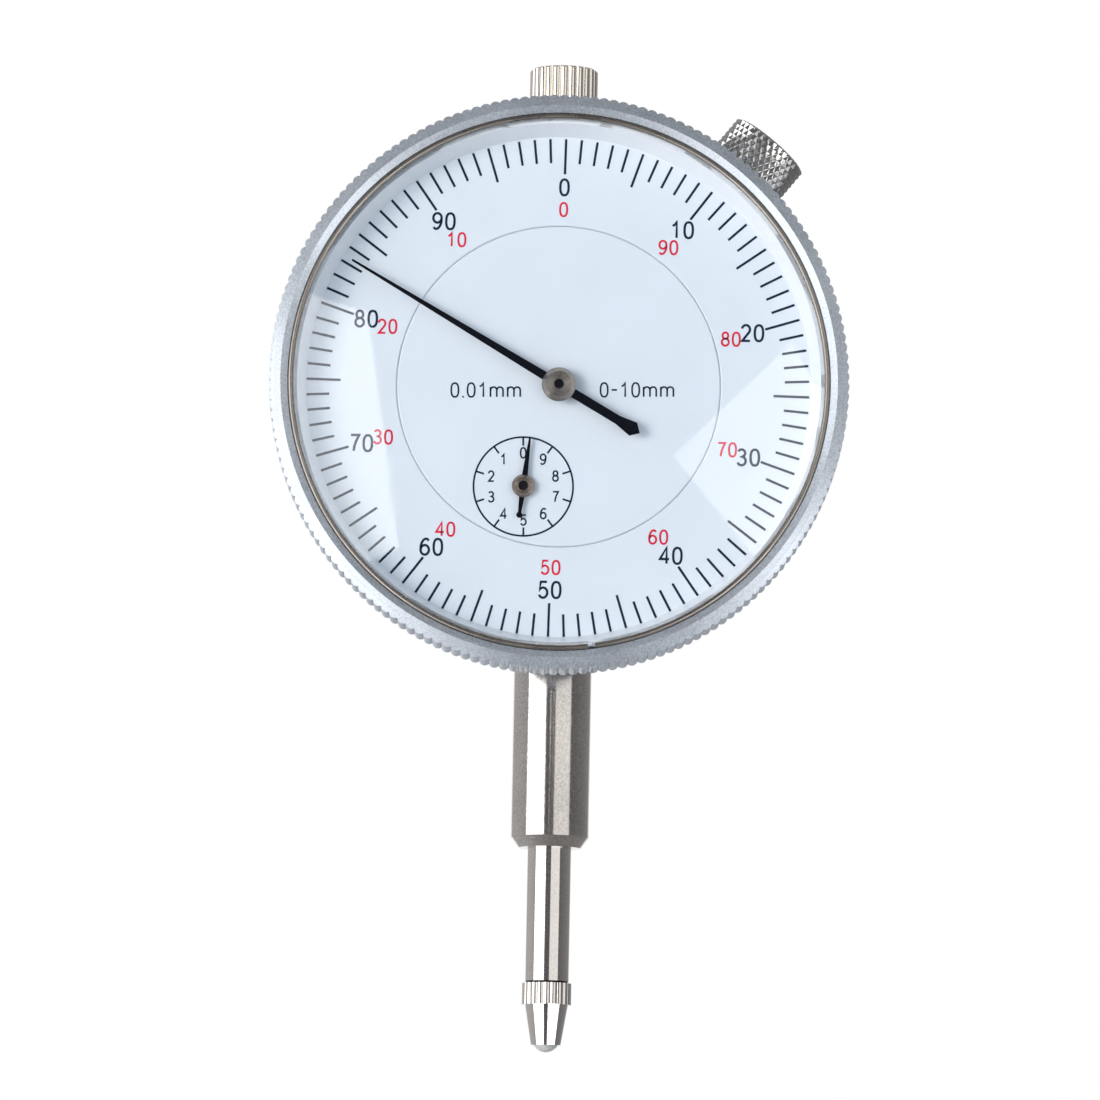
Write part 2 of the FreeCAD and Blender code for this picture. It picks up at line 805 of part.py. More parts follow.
def guide_pin():
    """Keeps the spindle from turning, and holds the upper eye of the return spring."""
    shank = rod("pin_radius", "-pin_radius", "pin_end", "Y", z="pin_height")
    head = rod("pin_head", "pin_end - pin_head_thickness", "pin_end", "Y", z="pin_height")
    return fuse("guide_pin", [shank, head])


def contact_point():
    collar_end = "spindle_end - collar_height"
    outline = [
        ("0", "spindle_end + tip_thread_depth - tap_gap"),
        ("tip_thread", "spindle_end + tip_thread_depth - tap_gap"),
        ("tip_thread", "spindle_end"),
        ("collar_radius", "spindle_end"),
        ("collar_radius", collar_end),
        ("cone_radius", collar_end),
        ("cone_end_radius", f"{collar_end} - cone_height"),
        ("0", f"{collar_end} - cone_height"),
    ]
    blank = turned("ContactBlank", "Z", outline)
    ends = (size("ball_height") - size("ball_radius"), size("spindle_end") + size("tip_thread_depth"))
    flutes = fluted(size("collar_radius"), size("collar_depth"), int(size("collar_flutes")), *ends, "Z")
    return cut("contact_point", common("ContactKnurled", [blank, flutes]), [ball("BallSeat")])


def ball(label):
    piece = doc.addObject("Part::Sphere", label)
    bind(piece, "Radius", "ball_radius")
    return move(piece, z="ball_height")


# ---- movement ----


def base_plate():
    disc = rod("base_radius", "base_front", "base_back")
    window = block(
        ("-base_radius", "base_front", "-base_flat"),
        ("base_radius", "base_back", "base_flat"),
    )
    pivots = [("0", "0"), (TAKEUP_X, TAKEUP_Z)]
    span = through("base_front", "base_back")
    holes = [rod("pivot_radius + fit_gap", *span, x=x, z=z) for x, z in pivots]
    holes.append(rod("arbor_radius + fit_gap", *span, x=ARBOR_X, z=ARBOR_Z))
    holes += [rod("screw_shank + fit_gap", *span, x=x, z=z) for x, z in PLATE_LUGS]
    riveted = PILLARS + BRIDGE_POSTS + [("anchor_x", "anchor_z")]
    holes += [rod("rivet_radius", *span, x=x, z=z) for x, z in riveted]
    notch = clamp_rod("clamp_boss + notch_gap", "clamp_boss_inner - notch_sink", f"base_radius + {PAST}")
    holes.append(notch)
    return cut("base_plate", common("PlateBlank", [disc, window]), holes)


def base_plate_screws():
    return group("base_plate_screws", [cheese_head_screw("base_front", 1, x, z) for x, z in PLATE_LUGS])


def plate_pillars():
    pillars = []
    for x, z in PILLARS:
        column = rod("pillar_radius", "front_plate_back", "base_front", x=x, z=z)
        rivet = rod("rivet_radius", "base_front - lap", "base_back", x=x, z=z)
        mouth = f"front_plate_back - {PAST}"
        tapping = rod("screw_shank + fit_gap", mouth, "base_front - pillar_floor", x=x, z=z)
        pillars.append(cut("Pillar", fuse("PillarBlank", [column, rivet]), [tapping]))
    return group("plate_pillars", pillars)


def countersink(x, z):
    return taper("screw_head", "screw_shank", "front_plate_front", "front_plate_front + screw_rise", x, z)


def front_plate():
    disc = rod("front_plate_radius", "front_plate_front", "front_plate_back")
    span = through("front_plate_front", "front_plate_back")
    arbors = [("0", "0"), (ARBOR_X, ARBOR_Z)]
    holes = [rod("arbor_radius + fit_gap", *span, x=x, z=z) for x, z in arbors]
    holes.append(rod("pivot_radius + fit_gap", *span, x=TAKEUP_X, z=TAKEUP_Z))
    holes += [rod("foot_radius + fit_gap", *span, x=f"({side} * foot_reach)") for side in (-1, 1)]
    for x, z in PILLARS:
        holes.append(rod("screw_shank + fit_gap", *span, x=x, z=z))
        holes.append(countersink(x, z))
    holes.append(rod("stud_radius", *span, x=STUD_X, z=TAKEUP_Z))
    return cut("front_plate", disc, holes)


def front_plate_screws():
    screws = []
    for x, z in PILLARS:
        tip = "base_front - pillar_floor - pillar_screw_gap"
        shank = rod("screw_shank", "front_plate_front + lap", tip, x=x, z=z)
        slot = block(
            (f"{x} - screw_head - {PAST}", f"front_plate_front - {PAST}", f"{z} - screw_slot / 2"),
            (f"{x} + screw_head + {PAST}", "front_plate_front + slot_depth", f"{z} + screw_slot / 2"),
        )
        screws.append(cut("Screw", fuse("Blank", [shank, countersink(x, z)]), [slot]))
    return group("front_plate_screws", screws)


def bridge_posts():
    """Posts behind the base plate that carry the spindle guide and the pinion cock."""
    posts = []
    for x, z in BRIDGE_POSTS:
        column = rod("post_radius", "base_back", "bridge_front", x=x, z=z)
        rivet = rod("rivet_radius", "base_front", "base_back + lap", x=x, z=z)
        floor = "bridge_back - screw_length - tap_gap"
        tapping = rod("screw_shank + fit_gap", floor, f"bridge_front + {PAST}", x=x, z=z)
        posts.append(cut("Post", fuse("PostBlank", [column, rivet]), [tapping]))
    return group("bridge_posts", posts)


def bridge_screws():
    return group("bridge_screws", [cheese_head_screw("bridge_back", -1, x, z) for x, z in BRIDGE_POSTS])


def guide_plate():
    """A plate whose slot holds the guide pin, so that the spindle slides and cannot turn."""
    plate = block(
        ("-guide_half_width", "bridge_front", "guide_bottom"),
        ("guide_half_width", "bridge_back", "guide_top"),
    )
    span = through("bridge_front", "bridge_back")
    slot_radius = "pin_radius + fit_gap"
    low = "pin_height - pin_stop_gap"
    high = "pin_height + travel + pin_stop_gap"
    holes = [rod(slot_radius, *span, z=low), rod(slot_radius, *span, z=high)]
    holes.append(block((f"-({slot_radius})", span[0], low), (slot_radius, span[1], high)))
    holes += [rod("screw_shank + fit_gap", *span, x=x, z=z) for x, z in GUIDE_POSTS]
    return cut("guide_plate", plate, holes)


def pinion_cock():
    """The bridge that carries the rack arbor's rear pivot."""
    span = ("bridge_front", "bridge_back")
    foot = block(
        ("cock_post_x - cock_half", span[0], f"{ARBOR_Z} - cock_post_step - cock_half"),
        ("cock_post_x + cock_half", span[1], f"{ARBOR_Z} + cock_post_step + cock_half"),
    )
    arm = block(
        ("cock_post_x", span[0], f"{ARBOR_Z} - cock_nose"),
        (ARBOR_X, span[1], f"{ARBOR_Z} + cock_nose"),
    )
    nose = rod("cock_nose", *span, x=ARBOR_X, z=ARBOR_Z)
    tool_span = through(*span)
    holes = [rod("pivot_radius + fit_gap", *tool_span, x=ARBOR_X, z=ARBOR_Z)]
    holes += [rod("screw_shank + fit_gap", *tool_span, x=x, z=z) for x, z in COCK_POSTS]
    return cut("pinion_cock", fuse("CockBlank", [foot, arm, nose]), holes)


def spring_anchor():
    post = rod("anchor_post", "base_back", "spring_back + anchor_arm", x="anchor_x", z="anchor_z")
    rivet = rod("rivet_radius", "base_front", "base_back + lap", x="anchor_x", z="anchor_z")
    arm_end = "-spring_wire - anchor_overhang"
    arm = rod("anchor_arm", arm_end, "anchor_x", "X", y="spring_back", z="anchor_z")
    return fuse("spring_anchor", [post, rivet, arm])


def eye(label, axis, height):
    """A closed wire eye at one end of the return spring."""
    loop = doc.addObject("Part::Torus", label)
    bind(loop, "Radius1", "spring_eye")
    bind(loop, "Radius2", "spring_wire")
    loop.Placement = FreeCAD.Placement(FreeCAD.Vector(), ALONG[axis])
    return move(loop, y="spring_back", z=height)


def return_spring():
    """The tension spring, as the sleeve that its coils fill, with an eye at each end."""
    top = "pin_height - spring_eye - spring_tail"
    bottom = "anchor_z + spring_eye + spring_tail"
    coil = rod("spring_radius", bottom, top, "Z", y="spring_back")
    ends = (f"{bottom} + spring_end_wall", f"{top} - spring_end_wall")
    hollow = rod("spring_bore", *ends, "Z", y="spring_back")
    upper_tail = rod("spring_wire", f"{top} - lap", "pin_height - spring_eye", "Z", y="spring_back")
    lower_tail = rod("spring_wire", "anchor_z + spring_eye", f"{bottom} + lap", "Z", y="spring_back")
    eyes = [eye("UpperEye", "Y", "pin_height"), eye("LowerEye", "X", "anchor_z")]
    sleeve = cut("SpringSleeve", coil, [hollow])
    return fuse("return_spring", [sleeve, upper_tail, lower_tail] + eyes)


STUD_X = f"({TAKEUP_X} + hair_start + hair_halves * hair_step + hair_width / 2 + stud_radius)"


def hairspring():
    """A flat spiral of half turns, about two centres one step apart, that takes up the train's backlash."""
    step = size("hair_step")
    half_width = size("hair_width") / 2
    halves = int(size("hair_halves"))

    def edge(offset):
        arcs = []
        for i in range(halves):
            radius = size("hair_start") + i * step + offset
            middle = step * (i % 2)
            rise = radius if i % 2 == 0 else -radius
            start, end = (radius, -radius) if i % 2 == 0 else (-radius, radius)
            corners = [(middle + start, 0), (middle, rise), (middle + end, 0)]
            arcs.append(Part.Arc(*[FreeCAD.Vector(x, 0, z) for x, z in corners]).toShape())
        return arcs

    outer = edge(half_width)
    inner = edge(-half_width)
    start_cap = Part.makeLine(*[arcs[0].valueAt(arcs[0].FirstParameter) for arcs in (inner, outer)])
    end_cap = Part.makeLine(*[arcs[-1].valueAt(arcs[-1].LastParameter) for arcs in (outer, inner)])
    loop = Part.Wire(Part.sortEdges(outer + inner + [start_cap, end_cap])[0])
    ribbon = Part.Face(loop).extrude(FreeCAD.Vector(0, size("hair_back") - size("hair_front"), 0))
    x, z = arbor_place()
    spot = FreeCAD.Vector(-x, size("hair_front"), -z)
    return from_code("hairspring", ribbon, FreeCAD.Placement(spot, FreeCAD.Rotation()))


def hairspring_stud():
    stud = rod("stud_radius", "front_plate_front", "hair_back", x=STUD_X, z=TAKEUP_Z)
    stud.Label = "hairspring_stud"
    return stud


# ---- gear train ----


def wheel(label, front, back, boss_front, boss_back, x, z):
    """A brass wheel with round windows and a boss."""
    teeth = int(size("wheel_teeth"))
    shift = size("tooth_shift")
    heights = (WHEEL_ADDENDUM - shift, DEDENDUM + shift)
    blank = gear(teeth, -shift, *heights, size(front), size(back), train_lean())
    boss = rod("wheel_boss", boss_front, boss_back)
    span = through(boss_front, boss_back)
    holes = [rod("arbor_radius", *span)]
    for i in range(WHEEL_WINDOWS):
        turn = 360 / WHEEL_WINDOWS * (i + 0.5)
        x_spot = f"window_circle * sin({turn})"
        z_spot = f"window_circle * cos({turn})"
        holes.append(rod("wheel_window", *span, x=x_spot, z=z_spot))
    return move(cut(label, fuse("WheelBlank", [blank, boss]), holes), x=x, z=z)


def drive_gear():
    boss = ("drive_front - boss_reach", "drive_back")
    return wheel("drive_gear", "drive_front", "drive_back", *boss, ARBOR_X, ARBOR_Z)


def takeup_gear():
    boss = ("takeup_front", "takeup_back + boss_reach")
    return wheel("takeup_gear", "takeup_front", "takeup_back", *boss, TAKEUP_X, TAKEUP_Z)


def rack_pinion_arbor():
    leaves = int(size("rack_leaves"))
    half = size("rack_pinion_half")
    # A space between leaves faces +X, where the rack's tooth stands.
    turn = math.pi / 2 + math.pi / leaves
    pinion = gear(leaves, 0, RACK_PINION_ADDENDUM, DEDENDUM, -half, half, turn)
    shaft = rod("arbor_radius", "rev_hub_back + rev_shoulder", "bridge_front - end_play")
    pivot = rod("pivot_radius", "bridge_front - end_play - lap", "bridge_back")
    seat = rod("seat_taper", "rev_hub_front + rev_recess", "rev_hub_back + rev_shoulder + lap")
    return move(fuse("rack_pinion_arbor", [pinion, shaft, pivot, seat]), x=ARBOR_X, z=ARBOR_Z)


def centre_pinion_arbor():
    leaves = int(size("centre_leaves"))
    shift = size("tooth_shift")
    ends = (size("centre_front"), size("centre_back"))
    # Spaces face both wheels, which stand opposite each other.
    turn = train_lean() + math.pi / leaves
    pinion = gear(leaves, shift, CENTRE_PINION_ADDENDUM, DEDENDUM - shift, *ends, turn)
    shaft = rod("arbor_radius", "main_hub_back + main_shoulder", "centre_back")
    pivot = rod("pivot_radius", "centre_back - lap", "base_back - end_play")
    seat = rod("seat_taper", "main_hub_front + main_recess", "main_hub_back + main_shoulder + lap")
    return fuse("centre_pinion_arbor", [pinion, shaft, pivot, seat])


def takeup_arbor():
    shaft = rod("arbor_radius", "hair_front - lap", "centre_back")
    rear_pivot = rod("pivot_radius", "centre_back - lap", "base_back - end_play")
    front_pivot = rod("pivot_radius", "front_plate_front + end_play", "hair_front")
    return move(fuse("takeup_arbor", [shaft, rear_pivot, front_pivot]), x=TAKEUP_X, z=TAKEUP_Z)


def hairspring_collet():
    collar = rod("collet_radius", "hair_front", "hair_back")
    hole = rod("arbor_radius", *through("hair_front", "hair_back"))
    return move(cut("hairspring_collet", collar, [hole]), x=TAKEUP_X, z=TAKEUP_Z)


# ---- pointers ----


def pointer(label, blade, extra, eye_radius, boss_radius, front, back, turn, x, z):
    """A flat blade with an eye that fits over its hub's boss, turned to where it rests."""
    hole = rod(boss_radius, *through(front, back))
    piece = cut(label, fuse("Blade", [blade, rod(eye_radius, front, back)] + extra), [hole])
    piece.Placement = FreeCAD.Placement(FreeCAD.Vector(), FreeCAD.Rotation(Y_AXIS, size(turn)))
    return move(piece, x=x, z=z)


def main_pointer():
    right_side = [
        ("main_tip", "main_length"),
        ("main_root", "0"),
        ("main_root", "main_neck"),
        ("main_flare", "main_flare_end"),
    ]
    left_side = [(f"-{across}", along) for across, along in reversed(right_side)]
    outline = right_side + [("0", "main_tail")] + left_side
    span = ("main_blade_front", "main_blade_back")
    blade = sheet_metal("MainBlade", outline, *span)
    return pointer("main_pointer", blade, [], "main_eye", "main_boss", *span, "main_turn", "0", "0")


def rev_pointer():
    outline = [
        ("rev_tip", "rev_length"),
        ("rev_root", "0"),
        ("rev_tail_half", "rev_tail"),
        ("-rev_tail_half", "rev_tail"),
        ("-rev_root", "0"),
        ("-rev_tip", "rev_length"),
    ]
    span = ("rev_blade_front", "rev_blade_back")
    blade = sheet_metal("RevBlade", outline, *span)
    blob = rod("rev_blob", *span, z="rev_tail")
    return pointer("rev_pointer", blade, [blob], "rev_eye", "rev_boss", *span, "rev_turn", ARBOR_X, ARBOR_Z)


def hub(label, flange, boss, front, step, back, bevel, x="0", z="0"):
    """A turned hub with a bevelled flange in front of its pointer and a bore for the arbor's seat."""
    outline = [
        ("seat_taper", front),
        (f"{flange} - {bevel}", front),
        (flange, f"{front} + {bevel}"),
        (flange, step),
        (boss, step),
        (boss, back),
        ("seat_taper", back),
    ]
    return move(turned(label, "Y", outline), x=x, z=z)


def main_pointer_hub():
    edges = ("main_hub_front", "main_blade_front", "main_hub_back")
    return hub("main_pointer_hub", "main_hub", "main_boss", *edges, "main_hub_bevel")


def rev_pointer_hub():
    edges = ("rev_hub_front", "rev_blade_front", "rev_hub_back")
    return hub("rev_pointer_hub", "rev_hub", "rev_boss", *edges, "rev_hub_bevel", ARBOR_X, ARBOR_Z)


# ---- bezel clamp ----


def clamp_screw():
    outline = [
        ("0", "clamp_boss_inner"),
        ("clamp_shank", "clamp_boss_inner"),
        ("clamp_shank", "knob_inner"),
        ("knob_radius - knob_bevel", "knob_inner"),
        ("knob_radius", "knob_inner + knob_bevel"),
        ("knob_radius", "knob_outer - knob_bevel"),
        ("knob_radius - knob_bevel", "knob_outer"),
        ("0", "knob_outer"),
    ]
    return clamp_axis(turned("clamp_screw", "Z", outline))


def clamp_shoe():
    """A shoe under the clamp knob whose front lip grips the bezel's skirt."""
    blank = block(
        ("-shoe_half", "shoe_front", "shoe_inner"),
        ("shoe_half", "shoe_back", "shoe_outer"),
    )
    tools = [
        rod("skirt_radius + shoe_gap", f"shoe_front - {PAST}", "skirt_back + shoe_lip_gap"),
        rod("case_radius + shoe_case_gap", *through("shoe_front", "shoe_back")),
        rod("clamp_shank + fit_gap", *through("shoe_inner", "shoe_outer"), "Z", y="clamp_back"),
    ]
    return clamp_axis(cut("clamp_shoe", blank, tools), y="0")


def measure_from_stem(piece):
    """Raise a finished piece, so that heights count from the middle of the stem's clamped length."""
    bound = {path.lstrip("."): text for path, text in piece.ExpressionEngine}
    drawn_at = bound.get("Placement.Base.z", repr(piece.Placement.Base.z))
    bind(piece, "Placement.Base.z", f"{drawn_at} - (neck_end + stem_bevel_top) / 2")
    return piece


def build_all():
    makers = [
        case_body, back_cover, back_cover_screws, stem, upper_bush, dust_cap,
        bezel, bezel_spring_wire, outer_dial, inner_dial, spacer_ring, crystal, crystal_retaining_wire,
        spindle, guide_pin, contact_point,
        base_plate, base_plate_screws, plate_pillars, front_plate, front_plate_screws,
        bridge_posts, bridge_screws, guide_plate, pinion_cock, spring_anchor, return_spring,
        hairspring, hairspring_stud, drive_gear, takeup_gear,
        rack_pinion_arbor, centre_pinion_arbor, takeup_arbor, hairspring_collet,
        main_pointer, rev_pointer, main_pointer_hub, rev_pointer_hub,
        clamp_screw, clamp_shoe,
    ]
    drawn = [maker() for maker in makers]
    drawn.append(ball("contact_ball"))
    return [measure_from_stem(piece) for piece in drawn]


def check(pieces):
    """Stop before anything is written if a feature failed or a piece is not sound."""
    for piece in doc.Objects:
        faults = {"Invalid", "Error"} & set(piece.State)
        if faults:
            raise RuntimeError(f"{piece.Name} ({piece.Label}) is {faults}")
    for piece in pieces:
        shape = piece.Shape
        if shape.isNull() or not shape.isValid() or not shape.Solids:
            raise RuntimeError(f"{piece.Label} has no sound solid")


pieces = build_all()
doc.recompute()
check(pieces)
os.makedirs("parts", exist_ok=True)
for piece in pieces:
    piece.Shape.exportStep(f"parts/{piece.Label}.step")
    print(f"{piece.Label}: {len(piece.Shape.Solids)} solid(s), {piece.Shape.Volume:.1f} mm3")
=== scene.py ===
"""Looks of a dial indicator on its CAD frame: materials, printing, a knurled knob and a coiled spring."""
import json
import math
import bmesh
import bpy
from mathutils import Matrix, Vector


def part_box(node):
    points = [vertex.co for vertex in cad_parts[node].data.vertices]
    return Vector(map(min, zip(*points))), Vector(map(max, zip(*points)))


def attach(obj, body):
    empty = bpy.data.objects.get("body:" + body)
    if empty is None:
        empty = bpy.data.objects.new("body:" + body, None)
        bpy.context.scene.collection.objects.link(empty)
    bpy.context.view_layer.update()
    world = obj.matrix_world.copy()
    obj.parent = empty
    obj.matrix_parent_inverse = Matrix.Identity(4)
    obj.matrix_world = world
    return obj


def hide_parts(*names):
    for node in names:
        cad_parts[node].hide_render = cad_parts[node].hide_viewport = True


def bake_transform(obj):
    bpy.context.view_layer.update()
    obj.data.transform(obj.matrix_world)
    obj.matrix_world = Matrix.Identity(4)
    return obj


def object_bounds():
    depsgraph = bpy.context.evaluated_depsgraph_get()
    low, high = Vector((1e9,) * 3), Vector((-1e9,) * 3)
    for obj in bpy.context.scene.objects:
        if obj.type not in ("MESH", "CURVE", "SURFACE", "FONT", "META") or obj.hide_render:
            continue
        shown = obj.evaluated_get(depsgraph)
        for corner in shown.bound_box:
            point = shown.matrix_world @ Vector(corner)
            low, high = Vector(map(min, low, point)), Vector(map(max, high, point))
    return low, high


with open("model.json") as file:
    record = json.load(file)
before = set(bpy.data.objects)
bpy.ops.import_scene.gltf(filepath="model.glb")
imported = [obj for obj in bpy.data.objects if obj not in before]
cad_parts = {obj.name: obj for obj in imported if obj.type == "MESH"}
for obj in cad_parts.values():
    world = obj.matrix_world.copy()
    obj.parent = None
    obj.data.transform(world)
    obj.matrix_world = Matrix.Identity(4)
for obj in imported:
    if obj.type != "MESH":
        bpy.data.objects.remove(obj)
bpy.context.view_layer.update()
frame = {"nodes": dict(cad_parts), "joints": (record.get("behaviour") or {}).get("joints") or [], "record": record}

MM = 0.001
JOINTS = {joint["name"]: joint for joint in frame["joints"]}
DIAL = Vector(JOINTS["bezel_turn"]["pos_m"])
COUNTER = Vector(JOINTS["rack_arbor_turn"]["pos_m"])
DIAL_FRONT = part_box("outer_dial")[0][1]
CLAMP_AXIS = Vector(JOINTS["clamp_screw_turn"]["axis"])
CLAMP_POINT = Vector(JOINTS["clamp_screw_turn"]["pos_m"])

BRUSHED = 0.65  # how far lathe rings stretch a gleam
ACROSS_RINGS = 0.25  # the stretch's direction, in turns from the rings' own

# ---- shader building ----


def add(tree, kind, inputs, **settings):
    """A shader node with its settings and inputs. An input is a value, or a socket to link from."""
    node = tree.nodes.new("ShaderNode" + kind)
    for name, value in settings.items():
        setattr(node, name, value)
    for name, value in inputs.items():
        if isinstance(value, bpy.types.NodeSocket):
            tree.links.new(value, node.inputs[name])
        else:
            node.inputs[name].default_value = value
    return node


def calculate(tree, operation, first, second):
    return add(tree, "Math", {0: first, 1: second}, operation=operation).outputs[0]


def remap(tree, value, low, high, from_low=0.0, from_high=1.0):
    """A value carried from one range to another, and held at its ends."""
    inputs = {"Value": value, "From Min": from_low, "From Max": from_high, "To Min": low, "To Max": high}
    return add(tree, "MapRange", inputs).outputs["Result"]


def noise(tree, place, size, detail=3.0):
    """Noise from 0 to 1 whose patches are about size millimetres across."""
    inputs = {"Vector": place, "Scale": 1 / (size * MM), "Detail": detail}
    return add(tree, "TexNoise", inputs).outputs[0]


def blend_colours(tree, share, first, second):
    """The first colour where share is 0 and the second where it is 1."""
    node = add(tree, "Mix", {0: share}, data_type="RGBA")
    for socket, colour in ((node.inputs[6], first), (node.inputs[7], second)):
        if isinstance(colour, bpy.types.NodeSocket):
            tree.links.new(colour, socket)
        else:
            socket.default_value = colour
    return node.outputs[2]


def blend_values(tree, share, first, second):
    return add(tree, "Mix", {0: share, 2: first, 3: second}).outputs[0]


def bump(tree, height, depth, normal=None):
    """A bump whose full height is depth metres."""
    inputs = {"Height": height, "Distance": depth, "Strength": 1.0}
    if normal:
        inputs["Normal"] = normal
    return add(tree, "Bump", inputs).outputs[0]


def place_in(tree):
    return add(tree, "TexCoord", {}).outputs["Object"]


def turned_place(tree, centre, axis):
    """(radius, distance along the axis, place on the circle) about an axis, and the direction of turning."""
    offset = add(tree, "VectorMath", {0: place_in(tree), 1: centre}, operation="SUBTRACT").outputs[0]
    direction = add(tree, "VectorMath", {0: axis, 1: offset}, operation="CROSS_PRODUCT").outputs[0]
    radius = add(tree, "VectorMath", {0: direction}, operation="LENGTH").outputs["Value"]
    height = add(tree, "VectorMath", {0: offset, 1: axis}, operation="DOT_PRODUCT").outputs["Value"]
    tangent = add(tree, "VectorMath", {0: direction}, operation="NORMALIZE").outputs[0]
    return radius, height, tangent


def shades(colour, tint):
    """A colour made darker and lighter by a share."""
    dark = tuple(channel * (1 - tint) for channel in colour) + (1.0,)
    light = tuple(min(1.0, channel * (1 + tint)) for channel in colour) + (1.0,)
    return dark, light


def new_material(name):
    material = bpy.data.materials.new(name)
    material.use_nodes = True
    tree = material.node_tree
    tree.nodes.clear()
    return material, tree


def finish_material(tree, shader):
    add(tree, "OutputMaterial", {"Surface": shader.outputs[0]})


def turned_metal(
    name, colour, roughness, centre, axis, grain=0.08, groove=0.4, tint=0.08, metallic=1.0, shaded_below=None
):
    """Metal cut on a lathe: fine rings about an axis, which spread its gleams across them, and a speckle.

    Below the height given as its last argument, the metal is painted dark brown: painted shade for the shadowed
    gap at the spindle's end."""
    material, tree = new_material(name)
    place = place_in(tree)
    radius, height, tangent = turned_place(tree, centre, axis)
    rings = add(tree, "CombineXYZ", {0: radius, 1: height}).outputs[0]
    cuts = noise(tree, rings, grain, 4.0)
    patches = noise(tree, place, 6, 3.0)
    speckle = noise(tree, place, 0.22, 2.0)
    dark, light = shades(colour, tint)
    shade = blend_values(tree, 0.7, patches, speckle)
    rough = remap(tree, calculate(tree, "ADD", cuts, speckle), roughness * 0.8, roughness * 1.25, 0.7, 1.3)
    relief = bump(tree, cuts, groove * 0.004 * MM)
    relief = bump(tree, speckle, groove * 0.003 * MM, relief)
    surface = blend_colours(tree, remap(tree, shade, 0.0, 1.0, 0.35, 0.65), dark, light)
    # Painted shade: below this height the colour turns dark brown, standing in for the shadow in the gap at the
    # spindle's end.
    if shaded_below is not None:
        unshaded = remap(tree, height, 0.0, 1.0, shaded_below, shaded_below + 0.08 * MM)
        surface = blend_colours(tree, unshaded, PAINTED_SHADE_BROWN, surface)
    inputs = {
        "Base Color": surface,
        "Metallic": metallic,
        "Roughness": rough,
        "Normal": relief,
        "Anisotropic": BRUSHED,
        "Anisotropic Rotation": ACROSS_RINGS,
        "Tangent": tangent,
    }
    finish_material(tree, add(tree, "BsdfPrincipled", inputs))
    return material


def plain_metal(name, colour, roughness, grain=0.3, depth=0.002, tint=0.08):
    """Metal with no lathe marks: fine wear and smudges only."""
    material, tree = new_material(name)
    place = place_in(tree)
    wear = noise(tree, place, grain, 4.0)
    smudge = noise(tree, place, 3, 2.0)
    dark, _ = shades(colour, tint)
    inputs = {
        "Base Color": blend_colours(tree, remap(tree, wear, 0.0, 1.0, 0.3, 0.7), dark, colour + (1.0,)),
        "Metallic": 1.0,
        "Roughness": remap(tree, smudge, roughness * 0.75, roughness * 1.3, 0.3, 0.7),
        "Normal": bump(tree, wear, depth * MM),
    }
    finish_material(tree, add(tree, "BsdfPrincipled", inputs))
    return material


def coated(name, colour, roughness, grain=0.15, depth=0.002, tint=0.03, specular=0.5):
    """Enamel, paint, ink or moulded plastic."""
    material, tree = new_material(name)
    place = place_in(tree)
    fine = noise(tree, place, grain, 3.0)
    broad = noise(tree, place, 8, 2.0)
    dark, _ = shades(colour, tint)
    inputs = {
        "Base Color": blend_colours(tree, remap(tree, broad, 0.0, 1.0, 0.3, 0.7), dark, colour + (1.0,)),
        "Roughness": remap(tree, fine, roughness * 0.9, roughness * 1.1, 0.3, 0.7),
        "Normal": bump(tree, fine, depth * MM),
        "Specular IOR Level": specular,
    }
    finish_material(tree, add(tree, "BsdfPrincipled", inputs))
    return material


def clear_glass(name):
    """A flat crystal: light passes straight through, and only the side it enters reflects."""
    material, tree = new_material(name)
    haze = noise(tree, place_in(tree), 5, 2.0)
    relief = bump(tree, haze, 0.0004 * MM)
    clear = add(tree, "BsdfTransparent", {"Color": (0.985, 0.992, 1.0, 1.0)})
    gloss_inputs = {"Roughness": remap(tree, haze, 0.01, 0.03, 0.3, 0.7), "Normal": relief}
    gloss = add(tree, "BsdfAnisotropic", gloss_inputs)
    outer_side = calculate(tree, "SUBTRACT", 1.0, add(tree, "NewGeometry", {}).outputs["Backfacing"])
    share = calculate(tree, "MULTIPLY", add(tree, "Fresnel", {"IOR": 1.5}).outputs[0], outer_side)
    mixed = add(tree, "MixShader", {0: share, 1: clear.outputs[0], 2: gloss.outputs[0]})
    finish_material(tree, mixed)
    return material


Y_AXIS = (0.0, 1.0, 0.0)
Z_AXIS = (0.0, 0.0, 1.0)
ORIGIN = (0.0, 0.0, 0.0)

BEZEL_GREY = (0.68, 0.73, 0.79)
BRIGHT_STEEL = (0.82, 0.78, 0.74)
# Painted shade: the dark brown of the shadowed gap between the spindle's end and the contact point's collar.
PAINTED_SHADE_BROWN = (0.035, 0.020, 0.015, 1.0)

